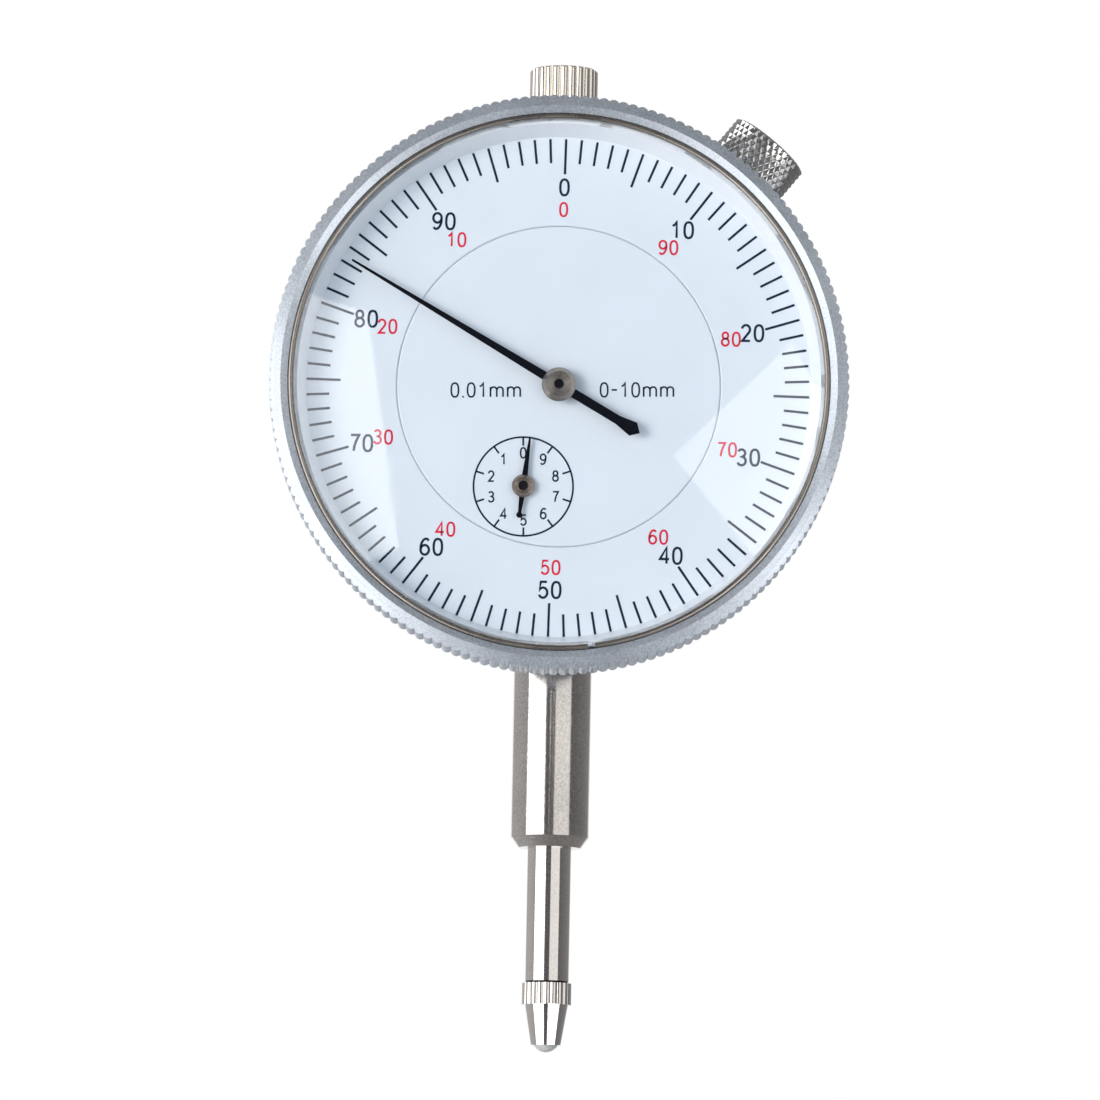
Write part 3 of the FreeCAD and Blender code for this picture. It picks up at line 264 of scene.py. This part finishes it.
MATERIALS = {
    "bezel_satin": turned_metal(
        "bezel_satin", BEZEL_GREY, 0.45, DIAL, Y_AXIS, grain=0.12, groove=1.6, tint=0.18, metallic=0.85
    ),
    "case_satin": turned_metal("case_satin", (0.60, 0.62, 0.65), 0.38, DIAL, Y_AXIS, groove=1.0),
    "steel": turned_metal(
        "steel", (0.70, 0.66, 0.62), 0.14, ORIGIN, Z_AXIS, grain=0.10, groove=1.0, tint=0.16
    ),
    "polished_steel": turned_metal("polished_steel", BRIGHT_STEEL, 0.10, ORIGIN, Z_AXIS),
    "screw_steel": turned_metal("screw_steel", (0.55, 0.55, 0.56), 0.30, DIAL, Y_AXIS),
    "nickel": turned_metal("nickel", (0.90, 0.84, 0.76), 0.13, ORIGIN, Z_AXIS, groove=0.3),
    "dark_nickel": plain_metal("dark_nickel", (0.66, 0.65, 0.64), 0.12, grain=0.15),
    "wire": plain_metal("wire", (0.34, 0.31, 0.28), 0.28),
    "spring_steel": plain_metal("spring_steel", (0.45, 0.47, 0.50), 0.30),
    "brass": turned_metal("brass", (0.80, 0.62, 0.30), 0.30, DIAL, Y_AXIS, grain=0.12),
    "dial_enamel": coated("dial_enamel", (0.83, 0.85, 0.88), 0.50),
    "spacer_white": coated("spacer_white", (0.94, 0.94, 0.95), 0.40),
    "crystal_clear": clear_glass("crystal_clear"),
    "pointer_black": coated("pointer_black", (0.002, 0.003, 0.007), 0.50, specular=0.06),
}
HUB_CUT = {"grain": 0.10, "groove": 0.8, "tint": 0.2}
MAIN_HUB = turned_metal("main_hub_metal", (0.38, 0.34, 0.30), 0.22, DIAL, Y_AXIS, **HUB_CUT)
COUNTER_HUB = turned_metal("counter_hub_metal", (0.36, 0.28, 0.24), 0.22, COUNTER, Y_AXIS, **HUB_CUT)
BALL = turned_metal("ball_metal", (0.90, 0.86, 0.82), 0.25, ORIGIN, Z_AXIS, metallic=0.45)
# The spindle's painted shade band reaches this far up from its end.
SPINDLE_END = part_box("spindle")[0][2] + 0.16 * MM
SPINDLE = turned_metal("spindle_metal", BRIGHT_STEEL, 0.10, ORIGIN, Z_AXIS, shaded_below=SPINDLE_END)
# Part real colour, part painted shade: blued steel made near black, so the arbor ends deep in the hub holes read
# as dark as shade.
SHADED_BLUED_STEEL = plain_metal("blued_steel_painted_shade", (0.020, 0.020, 0.026), 0.40)
NODE_MATERIALS = {
    "main_pointer_hub": MAIN_HUB,
    "rev_pointer_hub": COUNTER_HUB,
    "centre_pinion_arbor": SHADED_BLUED_STEEL,
    "rack_pinion_arbor": SHADED_BLUED_STEEL,
    "takeup_arbor": SHADED_BLUED_STEEL,
    "spindle": SPINDLE,
    "contact_ball": BALL,
}
BLACK_INK = coated("ink_black", (0.010, 0.022, 0.048), 0.60, specular=0.2)
RED_INK = coated("ink_red", (0.78, 0.020, 0.055), 0.60, specular=0.2)


def dress_frame():
    """Give every CAD node the material of its slot in the record, or its own if it has one."""
    for row in frame["record"]["subparts"]:
        node = frame["nodes"][row["node"]]
        if not node.material_slots:
            node.data.materials.append(None)
        for place in node.material_slots:
            place.link = "OBJECT"
            place.material = NODE_MATERIALS.get(row["node"], MATERIALS[row["material_slot"]])


# ---- making pieces ----


def object_from(name, bm, material):
    """A new object whose mesh is what bm holds, with its faces turned outward."""
    bmesh.ops.recalc_face_normals(bm, faces=bm.faces)
    mesh = bpy.data.meshes.new(name)
    bm.to_mesh(mesh)
    bm.free()
    mesh.materials.append(material)
    piece = bpy.data.objects.new(name, mesh)
    bpy.context.scene.collection.objects.link(piece)
    return piece


def riding_piece(name, bm, material, body):
    piece = object_from(name, bm, material)
    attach(piece, body)
    return piece


def skin(bm, loops, closed=True):
    """Faces between each row of vertices and the next, the rows closed into rings or open."""
    for first, second in zip(loops, loops[1:]):
        count = len(first)
        for i in range(count if closed else count - 1):
            following = (i + 1) % count
            bm.faces.new((first[i], first[following], second[following], second[i]))


# ---- printing on the dials ----

INK = 0.015 * MM  # how far the ink stands out
INK_SINK = 0.005 * MM  # how far its back lies under the dial's face

SCALE_TURN = math.radians(1.0)
SCALE_SHIFT = Vector((-0.17, 0, -0.20)) * MM  # the scale is printed a little off the dial's centre
SCALE_EDGE = 25.75 * MM
LONG_TICK = 3.65 * MM
SHORT_TICK = 2.5 * MM
TICK_WIDTH = 0.25 * MM
BLACK_CIRCLE = 20.75 * MM
BLACK_LETTERS = {"height": 1.88 * MM, "weight": 0.25 * MM}
RED_CIRCLE = 18.45 * MM
RED_LETTERS = {"height": 1.58 * MM, "weight": 0.21 * MM}

COUNTER_TURN = math.radians(-1.2)
COUNTER_CIRCLE = 5.07 * MM
COUNTER_EDGE = 5.05 * MM
COUNTER_TICK = 0.85 * MM
COUNTER_LINE = 0.19 * MM
COUNTER_NUMBERS = 3.45 * MM
COUNTER_LETTERS = {"height": 1.20 * MM, "weight": 0.17 * MM}

TEXTS = (("0.01mm", -7.44 * MM), ("0-10mm", 7.99 * MM))  # and how far right of the centre each is
TEXT_DROP = 0.395 * MM
TEXT_LETTERS = {"height": 1.60 * MM, "weight": 0.18 * MM}


def on_dial(centre, turn, radius):
    """A point of the dial's plane, by its clockwise turn from the top and its radius."""
    return Vector((centre.x + radius * math.sin(turn), DIAL_FRONT, centre.z + radius * math.cos(turn)))


def directions(turn):
    """The dial plane's rightward and upward directions, turned clockwise."""
    return Vector((math.cos(turn), 0, -math.sin(turn))), Vector((math.sin(turn), 0, math.cos(turn)))


def print_slab(bm, corners):
    """A thin closed slab of ink over the corners, which lie on the dial's plane."""
    back = [bm.verts.new((point.x, point.y + INK_SINK, point.z)) for point in corners]
    front = [bm.verts.new((point.x, point.y - INK, point.z)) for point in corners]
    bm.faces.new(back)
    bm.faces.new(list(reversed(front)))
    count = len(corners)
    for i in range(count):
        following = (i + 1) % count
        bm.faces.new((back[following], back[i], front[i], front[following]))


def print_line(bm, start, end, width):
    along = (end - start).normalized()
    side = Vector((along.z, 0, -along.x)) * width / 2
    print_slab(bm, [start + side, end + side, end - side, start - side])


def print_tick(bm, centre, turn, outer, length, width):
    print_line(bm, on_dial(centre, turn, outer), on_dial(centre, turn, outer - length), width)


def ink_corners(bm, first_edge, second_edge):
    """The four corner lines of a slab of ink between two lines on the dial's plane, the first again last."""
    back = [(first_edge, INK_SINK), (second_edge, INK_SINK)]
    front = [(second_edge, -INK), (first_edge, -INK)]
    loops = []
    for edge, lift in back + front:
        loops.append([bm.verts.new((place.x, place.y + lift, place.z)) for place in edge])
    return loops + loops[:1]


def print_circle(bm, centre, radius, width, steps=144):
    """A closed printed ring."""
    turns = [2 * math.pi * i / steps for i in range(steps)]
    inner = [on_dial(centre, turn, radius - width / 2) for turn in turns]
    outer = [on_dial(centre, turn, radius + width / 2) for turn in turns]
    skin(bm, ink_corners(bm, inner, outer))


def arc(x, y, across, up, start, end, steps=14):
    """Points on an ellipse about (x, y), from one angle in degrees to another."""
    turns = [math.radians(start + (end - start) * i / steps) for i in range(steps + 1)]
    return [(x + across * math.cos(turn), y + up * math.sin(turn)) for turn in turns]


def oval(x, y, across, up, squareness=1.0, steps=28):
    """A closed loop between an ellipse (1) and a rounded box (less than 1)."""
    points = []
    for i in range(steps):
        turn = 2 * math.pi * i / steps
        cos, sin = math.cos(turn), math.sin(turn)
        right = math.copysign(abs(cos) ** squareness, cos)
        upward = math.copysign(abs(sin) ** squareness, sin)
        points.append((x + across * right, y + up * upward))
    return points + points[:1]


def half_turned(strokes, width):
    """The same drawing turned upside down in its cell."""
    return [[(width - x, 1 - y) for x, y in stroke] for stroke in strokes]


DIGIT = 0.56  # the width of a figure whose height is 1
SIX = [oval(0.28, 0.30, 0.26, 0.30), arc(0.36, 0.36, 0.34, 0.64, 178, 78) + [(0.52, 0.88)]]
STROKES = {  # each sign's width, and its lines, for a height of 1
    "0": (DIGIT, [oval(0.28, 0.5, 0.26, 0.5, 0.82)]),
    "1": (DIGIT, [[(0.08, 0.76), (0.22, 0.82), (0.34, 1.0), (0.34, 0.0)]]),
    "2": (DIGIT, [arc(0.28, 0.72, 0.25, 0.28, 170, -38) + [(0.06, 0.0), (0.54, 0.0)]]),
    "3": (DIGIT, [arc(0.27, 0.77, 0.22, 0.23, 155, -80) + arc(0.27, 0.27, 0.26, 0.27, 85, -160)]),
    "4": (DIGIT, [[(0.42, 0.0), (0.42, 1.0), (0.01, 0.28), (0.58, 0.28)]]),
    "5": (DIGIT, [[(0.51, 1.0), (0.13, 1.0), (0.06, 0.50)] + arc(0.27, 0.32, 0.27, 0.32, 130, -155)]),
    "6": (DIGIT, SIX),
    "7": (DIGIT, [[(0.03, 1.0), (0.54, 1.0), (0.36, 0.62), (0.26, 0.30), (0.22, 0.0)]]),
    "8": (DIGIT, [oval(0.28, 0.76, 0.21, 0.24), oval(0.28, 0.27, 0.26, 0.27)]),
    "9": (DIGIT, half_turned(SIX, DIGIT)),
    ".": (0.10, [[(0.05, -0.05), (0.05, 0.07)]]),
    "-": (0.38, [[(0.0, 0.50), (0.38, 0.50)]]),
    "m": (0.98, [
        [(0.04, 0.0), (0.04, 0.72)],
        [(0.04, 0.44)] + arc(0.27, 0.50, 0.22, 0.21, 170, 0) + [(0.49, 0.0)],
        [(0.49, 0.44)] + arc(0.72, 0.50, 0.22, 0.21, 170, 0) + [(0.94, 0.0)],
    ]),
}
LETTER_GAP = 0.255
SHARPEST = 0.45  # keeps a sharp corner's point from reaching too far


def stroke_sides(points, width):
    """The two edges of a line of constant width that runs through the points."""
    closed = points[0] == points[-1]
    track = [Vector(point) for point in (points[:-1] if closed else points)]
    count = len(track)
    left, right = [], []
    for i in range(count):
        before = track[i - 1] if closed or i > 0 else track[i]
        after = track[(i + 1) % count] if closed or i < count - 1 else track[i]
        into = (track[i] - before).normalized() if before != track[i] else (after - track[i]).normalized()
        out = (after - track[i]).normalized() if after != track[i] else into
        along = (into + out).normalized()
        side = Vector((-along.y, along.x))
        reach = width / 2 / max(SHARPEST, side.dot(Vector((-into.y, into.x))))
        left.append(track[i] + side * reach)
        right.append(track[i] - side * reach)
    return left, right, closed


def print_stroke(bm, points, width, to_dial):
    """A closed slab of ink along a line, to_dial carrying its drawing plane to the dial's."""
    left, right, closed = stroke_sides(points, width)
    loops = ink_corners(bm, [to_dial(point) for point in left], [to_dial(point) for point in right])
    skin(bm, loops, closed)
    if not closed:
        bm.faces.new([loop[0] for loop in loops[:-1]])
        bm.faces.new([loop[-1] for loop in reversed(loops[:-1])])


def print_text(bm, text, middle, height, weight, turn=0.0):
    """Upright text centred on a point of the dial's plane. Height and weight are the ink's own."""
    scale = height - weight
    advance = [STROKES[letter][0] for letter in text]
    total = sum(advance) + LETTER_GAP * (len(text) - 1)
    across, up = directions(turn)
    start = -total / 2
    for letter, width in zip(text, advance):
        def to_dial(point, start=start):
            return middle + across * (start * scale + point.x) + up * (point.y - scale / 2)

        for stroke in STROKES[letter][1]:
            scaled = [(x * scale, y * scale) for x, y in stroke]
            print_stroke(bm, scaled, weight, to_dial)
        start += width + LETTER_GAP


def outer_scale():
    """A hundred divisions with black numbers clockwise, and red numbers the other way."""
    middle = DIAL + SCALE_SHIFT
    black = bmesh.new()
    for i in range(100):
        turn = SCALE_TURN + 2 * math.pi * i / 100
        length = LONG_TICK if i % 5 == 0 else SHORT_TICK
        print_tick(black, middle, turn, SCALE_EDGE, length, TICK_WIDTH)
    red = bmesh.new()
    for i in range(10):
        turn = SCALE_TURN + 2 * math.pi * i / 10
        clockwise = str(10 * i)
        backwards = str((100 - 10 * i) % 100)
        print_text(black, clockwise, on_dial(middle, turn, BLACK_CIRCLE), **BLACK_LETTERS)
        print_text(red, backwards, on_dial(middle, turn, RED_CIRCLE), **RED_LETTERS)
    riding_piece("outer_scale_black", black, BLACK_INK, "bezel")
    riding_piece("outer_scale_red", red, RED_INK, "bezel")


def inner_print():
    """The revolution counter's circle, numbered counter-clockwise, and the two lines of text."""
    bm = bmesh.new()
    print_circle(bm, COUNTER, COUNTER_CIRCLE, COUNTER_LINE)
    for i in range(10):
        turn = COUNTER_TURN - 2 * math.pi * i / 10
        print_tick(bm, COUNTER, turn, COUNTER_EDGE, COUNTER_TICK, COUNTER_LINE)
        place = on_dial(COUNTER, turn, COUNTER_NUMBERS)
        print_text(bm, str(i), place, turn=COUNTER_TURN, **COUNTER_LETTERS)
    across, up = directions(COUNTER_TURN)
    for text, side in TEXTS:
        middle = DIAL + across * side - up * TEXT_DROP
        middle.y = DIAL_FRONT
        print_text(bm, text, middle, turn=COUNTER_TURN, **TEXT_LETTERS)
    riding_piece("inner_print", bm, BLACK_INK, "case")


# ---- the knurled knob and the spring ----


def measure_about(node, point, axis):
    """(distance along an axis, distance from it) of each of a CAD node's vertices."""
    spots = []
    for vertex in frame["nodes"][node].data.vertices:
        offset = vertex.co - point
        height = offset.dot(axis)
        spots.append((height, (offset - axis * height).length))
    return spots


KNURL_CUTS = 37  # in each of the two directions
KNURL_DEPTH = 0.22 * MM
KNURL_LEAN = math.radians(31)


def clamp_measures():
    """The clamp screw's radii and bevel, and its heights along its axis."""
    spots = measure_about("clamp_screw", CLAMP_POINT, CLAMP_AXIS)
    radius = max(distance for _, distance in spots)
    top = max(height for height, _ in spots)
    bottom = min(height for height, _ in spots)
    knob_start = min(height for height, distance in spots if distance > radius * 0.9)
    shank = max(distance for height, distance in spots if height < bottom + 0.1 * MM)
    bevel = top - max(height for height, distance in spots if distance > radius * 0.999)
    return radius, shank, bevel, bottom, knob_start, top


def clamp_ring(bm, height, even, odd):
    """A ring of vertices about the clamp's axis, at two distances from it in turn."""
    side = CLAMP_AXIS.orthogonal().normalized()
    other = CLAMP_AXIS.cross(side)
    ring = []
    for i in range(2 * KNURL_CUTS):
        turn = math.pi * i / KNURL_CUTS
        outward = side * math.cos(turn) + other * math.sin(turn)
        reach = odd if i % 2 else even
        ring.append(bm.verts.new(CLAMP_POINT + CLAMP_AXIS * height + outward * reach))
    return ring


def knurl_row(bm, lower, upper, row):
    """Triangles between two rings, whose shared edges lean one way and the other in turn."""
    count = len(lower)
    for i in range(count):
        following = (i + 1) % count
        first, second, third, fourth = lower[i], lower[following], upper[following], upper[i]
        if (i + row) % 2:
            bm.faces.new((first, second, third))
            bm.faces.new((first, third, fourth))
        else:
            bm.faces.new((first, second, fourth))
            bm.faces.new((second, third, fourth))


def knurled_knob():
    """The clamp screw, its knob's diamond knurl a lattice of small pyramids between crossing cuts."""
    radius, shank, bevel, bottom, knob_start, top = clamp_measures()
    low, high = knob_start + bevel, top - bevel
    row_height = math.pi * radius / KNURL_CUTS / math.tan(KNURL_LEAN)
    rows = round((high - low) / row_height)
    floor = radius - KNURL_DEPTH
    end = radius - 2 * bevel
    bm = bmesh.new()
    screw = [clamp_ring(bm, bottom, shank, shank), clamp_ring(bm, knob_start, shank, shank)]
    shoulder = clamp_ring(bm, knob_start, floor, floor)
    knurl = []
    for row in range(rows + 1):
        height = low + (high - low) * row / rows
        even, odd = (floor, radius) if row % 2 else (radius, floor)
        knurl.append(clamp_ring(bm, height, even, odd))
    cap = clamp_ring(bm, top, end, end)
    skin(bm, [*screw, shoulder, knurl[0]])
    for row in range(rows):
        knurl_row(bm, knurl[row], knurl[row + 1], row)
    skin(bm, [knurl[-1], cap])
    bm.faces.new(screw[0])
    bm.faces.new(list(reversed(cap)))
    piece = riding_piece("clamp_knob", bm, MATERIALS["dark_nickel"], "clamp_screw")
    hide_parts("clamp_screw")


WIRE_RADIUS = 0.15 * MM
COIL_RADIUS = 0.85 * MM
EYE_RADIUS = 1.1 * MM
COIL_PITCH = 2.4 * WIRE_RADIUS
COIL_STEPS = 14  # to each turn
EYE_STEPS = 24
WIRE_SIDES = 8


def spring_path(middle, low, bottom, top, high):
    """The wire's centre line: an eye, the coil from bottom to top, and an eye square to the first."""
    path = []
    for i in range(EYE_STEPS + 1):
        turn = 2 * math.pi * i / EYE_STEPS
        height = low + WIRE_RADIUS + EYE_RADIUS - EYE_RADIUS * math.cos(turn)
        path.append(middle + Vector((0, EYE_RADIUS * math.sin(turn), height)))
    turns = int((top - bottom) / COIL_PITCH)
    steps = turns * COIL_STEPS
    for i in range(steps + 1):
        turn = 2 * math.pi * turns * i / steps
        height = bottom + (top - bottom) * i / steps
        path.append(middle + Vector((COIL_RADIUS * math.cos(turn), COIL_RADIUS * math.sin(turn), height)))
    for i in range(EYE_STEPS + 1):
        turn = 2 * math.pi * i / EYE_STEPS
        height = high - WIRE_RADIUS - EYE_RADIUS - EYE_RADIUS * math.cos(turn)
        path.append(middle + Vector((EYE_RADIUS * math.sin(turn), 0, height)))
    return path


def wire_along(bm, path):
    """A round wire along a path, closed at both ends."""
    never_ahead = Vector((0.31, 0.11, 1.0))  # the path never takes this direction
    rings = []
    for i, here in enumerate(path):
        ahead = (path[min(i + 1, len(path) - 1)] - path[max(i - 1, 0)]).normalized()
        side = ahead.cross(never_ahead).normalized()
        other = ahead.cross(side)
        ring = []
        for k in range(WIRE_SIDES):
            turn = 2 * math.pi * k / WIRE_SIDES
            outward = side * math.cos(turn) + other * math.sin(turn)
            ring.append(bm.verts.new(here + outward * WIRE_RADIUS))
        rings.append(ring)
    skin(bm, rings)
    bm.faces.new(rings[0])
    bm.faces.new(list(reversed(rings[-1])))


def coiled_spring():
    """The return spring's wire, close wound, with a hook eye at each end."""
    low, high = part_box("return_spring")
    middle = Vector(((low[0] + high[0]) / 2, (low[1] + high[1]) / 2, 0))
    bottom = low[2] + 2 * EYE_RADIUS + WIRE_RADIUS
    top = high[2] - 2 * EYE_RADIUS - WIRE_RADIUS
    bm = bmesh.new()
    wire_along(bm, spring_path(middle, low[2], bottom, top, high[2]))
    piece = object_from("return_spring_coil", bm, MATERIALS["spring_steel"])
    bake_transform(piece)
    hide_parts("return_spring")


# ---- studio ----

WHITE = (1.0, 1.0, 1.0, 1.0)
SOFT_FILL = (0.20, 0.28, 0.36, 1.0)
CAMERA_DISTANCE = 0.80
CAMERA_ELEVATION = math.radians(-6.9)
CAMERA_TURN = math.radians(0.37)
CAMERA_ROLL = math.radians(1.10)
CAMERA_LENS = 254.5
CAMERA_AIM = DIAL + Vector((-0.52, 0, -15.83)) * MM
REACH_OF_VIEW = 20


def facing(azimuth, elevation):
    """The direction from the object to a viewer. Azimuth 0 faces the dial, and right is positive."""
    flat = math.cos(elevation)
    return Vector((math.sin(azimuth) * flat, -math.cos(azimuth) * flat, math.sin(elevation)))


def set_camera():
    data = bpy.data.cameras.new("camera")
    data.lens = CAMERA_LENS
    data.clip_start = 0.01
    data.clip_end = REACH_OF_VIEW
    camera = bpy.data.objects.new("camera", data)
    bpy.context.scene.collection.objects.link(camera)
    away = facing(-CAMERA_TURN, CAMERA_ELEVATION)
    right = Vector((0, 0, 1)).cross(away).normalized()
    up = away.cross(right)
    pose = Matrix((right, up, away)).transposed().to_4x4()
    camera.matrix_world = (
        Matrix.Translation(CAMERA_AIM + away * CAMERA_DISTANCE) @ pose @ Matrix.Rotation(CAMERA_ROLL, 4, "Z")
    )
    bpy.context.scene.camera = camera


def softbox(name, azimuth, elevation, distance, width, height, power, colour=(1, 1, 1), seen=True):
    """A lamp panel that faces the dial. The angles are degrees, and mirrors show it if it is seen."""
    data = bpy.data.lights.new(name, "AREA")
    data.shape = "RECTANGLE"
    data.size = width
    data.size_y = height
    data.energy = power
    data.color = colour
    light = bpy.data.objects.new(name, data)
    bpy.context.scene.collection.objects.link(light)
    direction = facing(math.radians(azimuth), math.radians(elevation))
    light.location = DIAL + direction * distance
    light.rotation_euler = direction.to_track_quat("Z", "Y").to_euler()
    light.visible_camera = False
    light.visible_glossy = seen


def staged_sheet(name, corners, material):
    """A flat sheet with four corners, which belongs to the studio and not to the object."""
    mesh = bpy.data.meshes.new(name)
    mesh.from_pydata(corners, [], [(0, 1, 2, 3)])
    mesh.materials.append(material)
    sheet = bpy.data.objects.new(name, mesh)
    bpy.context.scene.collection.objects.link(sheet)
    return sheet


# Each gleam's brightness, and its corners' places on the crystal in mm right of and above DIAL.
GLEAMS = {
    "left_gleam": (5.5, ((-19.6, 6.6), (-15.9, -17.5), (-26.0, -22.0), (-28.0, 9.0))),
    "right_gleam": (3.75, ((11.7, -7.5), (23.6, 4.3), (29.7, -7.3), (21.6, -19.5))),
}
CARD_DISTANCE = 0.5


def gleam_card(name, brightness, corners):
    """A bright card that the crystal mirrors to the camera. It is seen in mirrors only, never itself."""
    eye = bpy.context.scene.camera.matrix_world.translation
    glass_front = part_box("crystal")[0][1]
    places = []
    for across, up in corners:
        spot = Vector((DIAL.x + across * MM, glass_front, DIAL.z + up * MM))
        ray = spot - eye
        ray.y = -ray.y
        places.append(spot - ray * CARD_DISTANCE / ray.y)
    material, tree = new_material(name)
    finish_material(tree, add(tree, "Emission", {"Strength": brightness}))
    card = staged_sheet(name, places, material)
    card.visible_camera = False
    card.visible_diffuse = False
    card.visible_shadow = False
    card.visible_transmission = False


# How grey the room is in mirrors, from straight in front of the dial (0) to straight behind it (1).
ROOM_FRONT = (0.10, 0.10, 0.11, 1.0)
ROOM_GREYS = ((0.12, 0.16), (0.50, 0.30), (0.93, 0.36), (0.97, 1.0))
ROOM_BLUE = 1.03


def set_world():
    """A white backdrop, a grey room for reflections that is darkest in front, and a blue-white soft fill."""
    world = bpy.data.worlds.new("studio")
    bpy.context.scene.world = world
    world.use_nodes = True
    tree = world.node_tree
    tree.nodes.clear()
    direction = add(tree, "TexCoord", {}).outputs["Generated"]
    sideways, depth, _ = add(tree, "SeparateXYZ", {0: direction}).outputs
    side = add(tree, "ValToRGB", {0: remap(tree, depth, 0.0, 1.0, -1.0, 1.0)})
    ramp = side.color_ramp
    ramp.elements[0].position = 0.0
    ramp.elements[0].color = ROOM_FRONT
    ramp.elements[1].position = 1.0
    ramp.elements[1].color = WHITE
    for position, grey in ROOM_GREYS:
        element = ramp.elements.new(position)
        element.color = (grey, grey, grey * ROOM_BLUE, 1)
    path = add(tree, "LightPath", {}).outputs
    lit = blend_colours(tree, path["Is Diffuse Ray"], side.outputs[0], SOFT_FILL)
    colour = blend_colours(tree, path["Is Camera Ray"], lit, WHITE)
    leftward = remap(tree, sideways, 1.4, 0.6, -1.0, 1.0)
    strength = blend_values(tree, path["Is Glossy Ray"], 1.0, leftward)
    shader = add(tree, "Background", {"Color": colour, "Strength": strength})
    add(tree, "OutputWorld", {"Surface": shader.outputs[0]})


FLOOR_HALF = 1.5
FLOOR_DROP = 0.13


def floor_paint():
    """White paint, which the camera sees as one plain pale tone and all other light meets as it is."""
    material = coated("floor_paint", (0.90, 0.90, 0.90), 0.8, grain=3.0)
    tree = material.node_tree
    output = next(node for node in tree.nodes if node.type == "OUTPUT_MATERIAL")
    painted = output.inputs["Surface"].links[0].from_socket
    plain = add(tree, "Emission", {"Color": WHITE, "Strength": 0.85}).outputs[0]
    seen = add(tree, "LightPath", {}).outputs["Is Camera Ray"]
    mixed = add(tree, "MixShader", {0: seen, 1: painted, 2: plain})
    tree.links.new(mixed.outputs[0], output.inputs["Surface"])
    return material


def set_floor():
    """A plain pale floor, lower than the camera."""
    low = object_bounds()[0][2] - FLOOR_DROP
    corners = [(x * FLOOR_HALF, y * FLOOR_HALF, low) for x, y in ((-1, -1), (1, -1), (1, 1), (-1, 1))]
    floor = staged_sheet("floor", corners, floor_paint())
    floor.visible_glossy = False


def set_studio():
    set_world()
    set_floor()
    softbox("left_softbox", -46, -13, 0.70, 0.77, 0.88, 4.6)
    softbox("right_softbox", 34, 2, 0.80, 0.71, 0.80, 1.45)
    softbox("low_softbox", 42, -24, 0.80, 0.95, 0.30, 1.8)
    softbox("dial_fill", -42, 3, 0.90, 0.30, 0.30, 3.1, colour=(1.0, 0.985, 0.96), seen=False)
    set_camera()
    for name, (brightness, corners) in GLEAMS.items():
        gleam_card(name, brightness, corners)
    bpy.context.scene.view_settings.view_transform = "Standard"


dress_frame()
outer_scale()
inner_print()
knurled_knob()
coiled_spring()
set_studio()
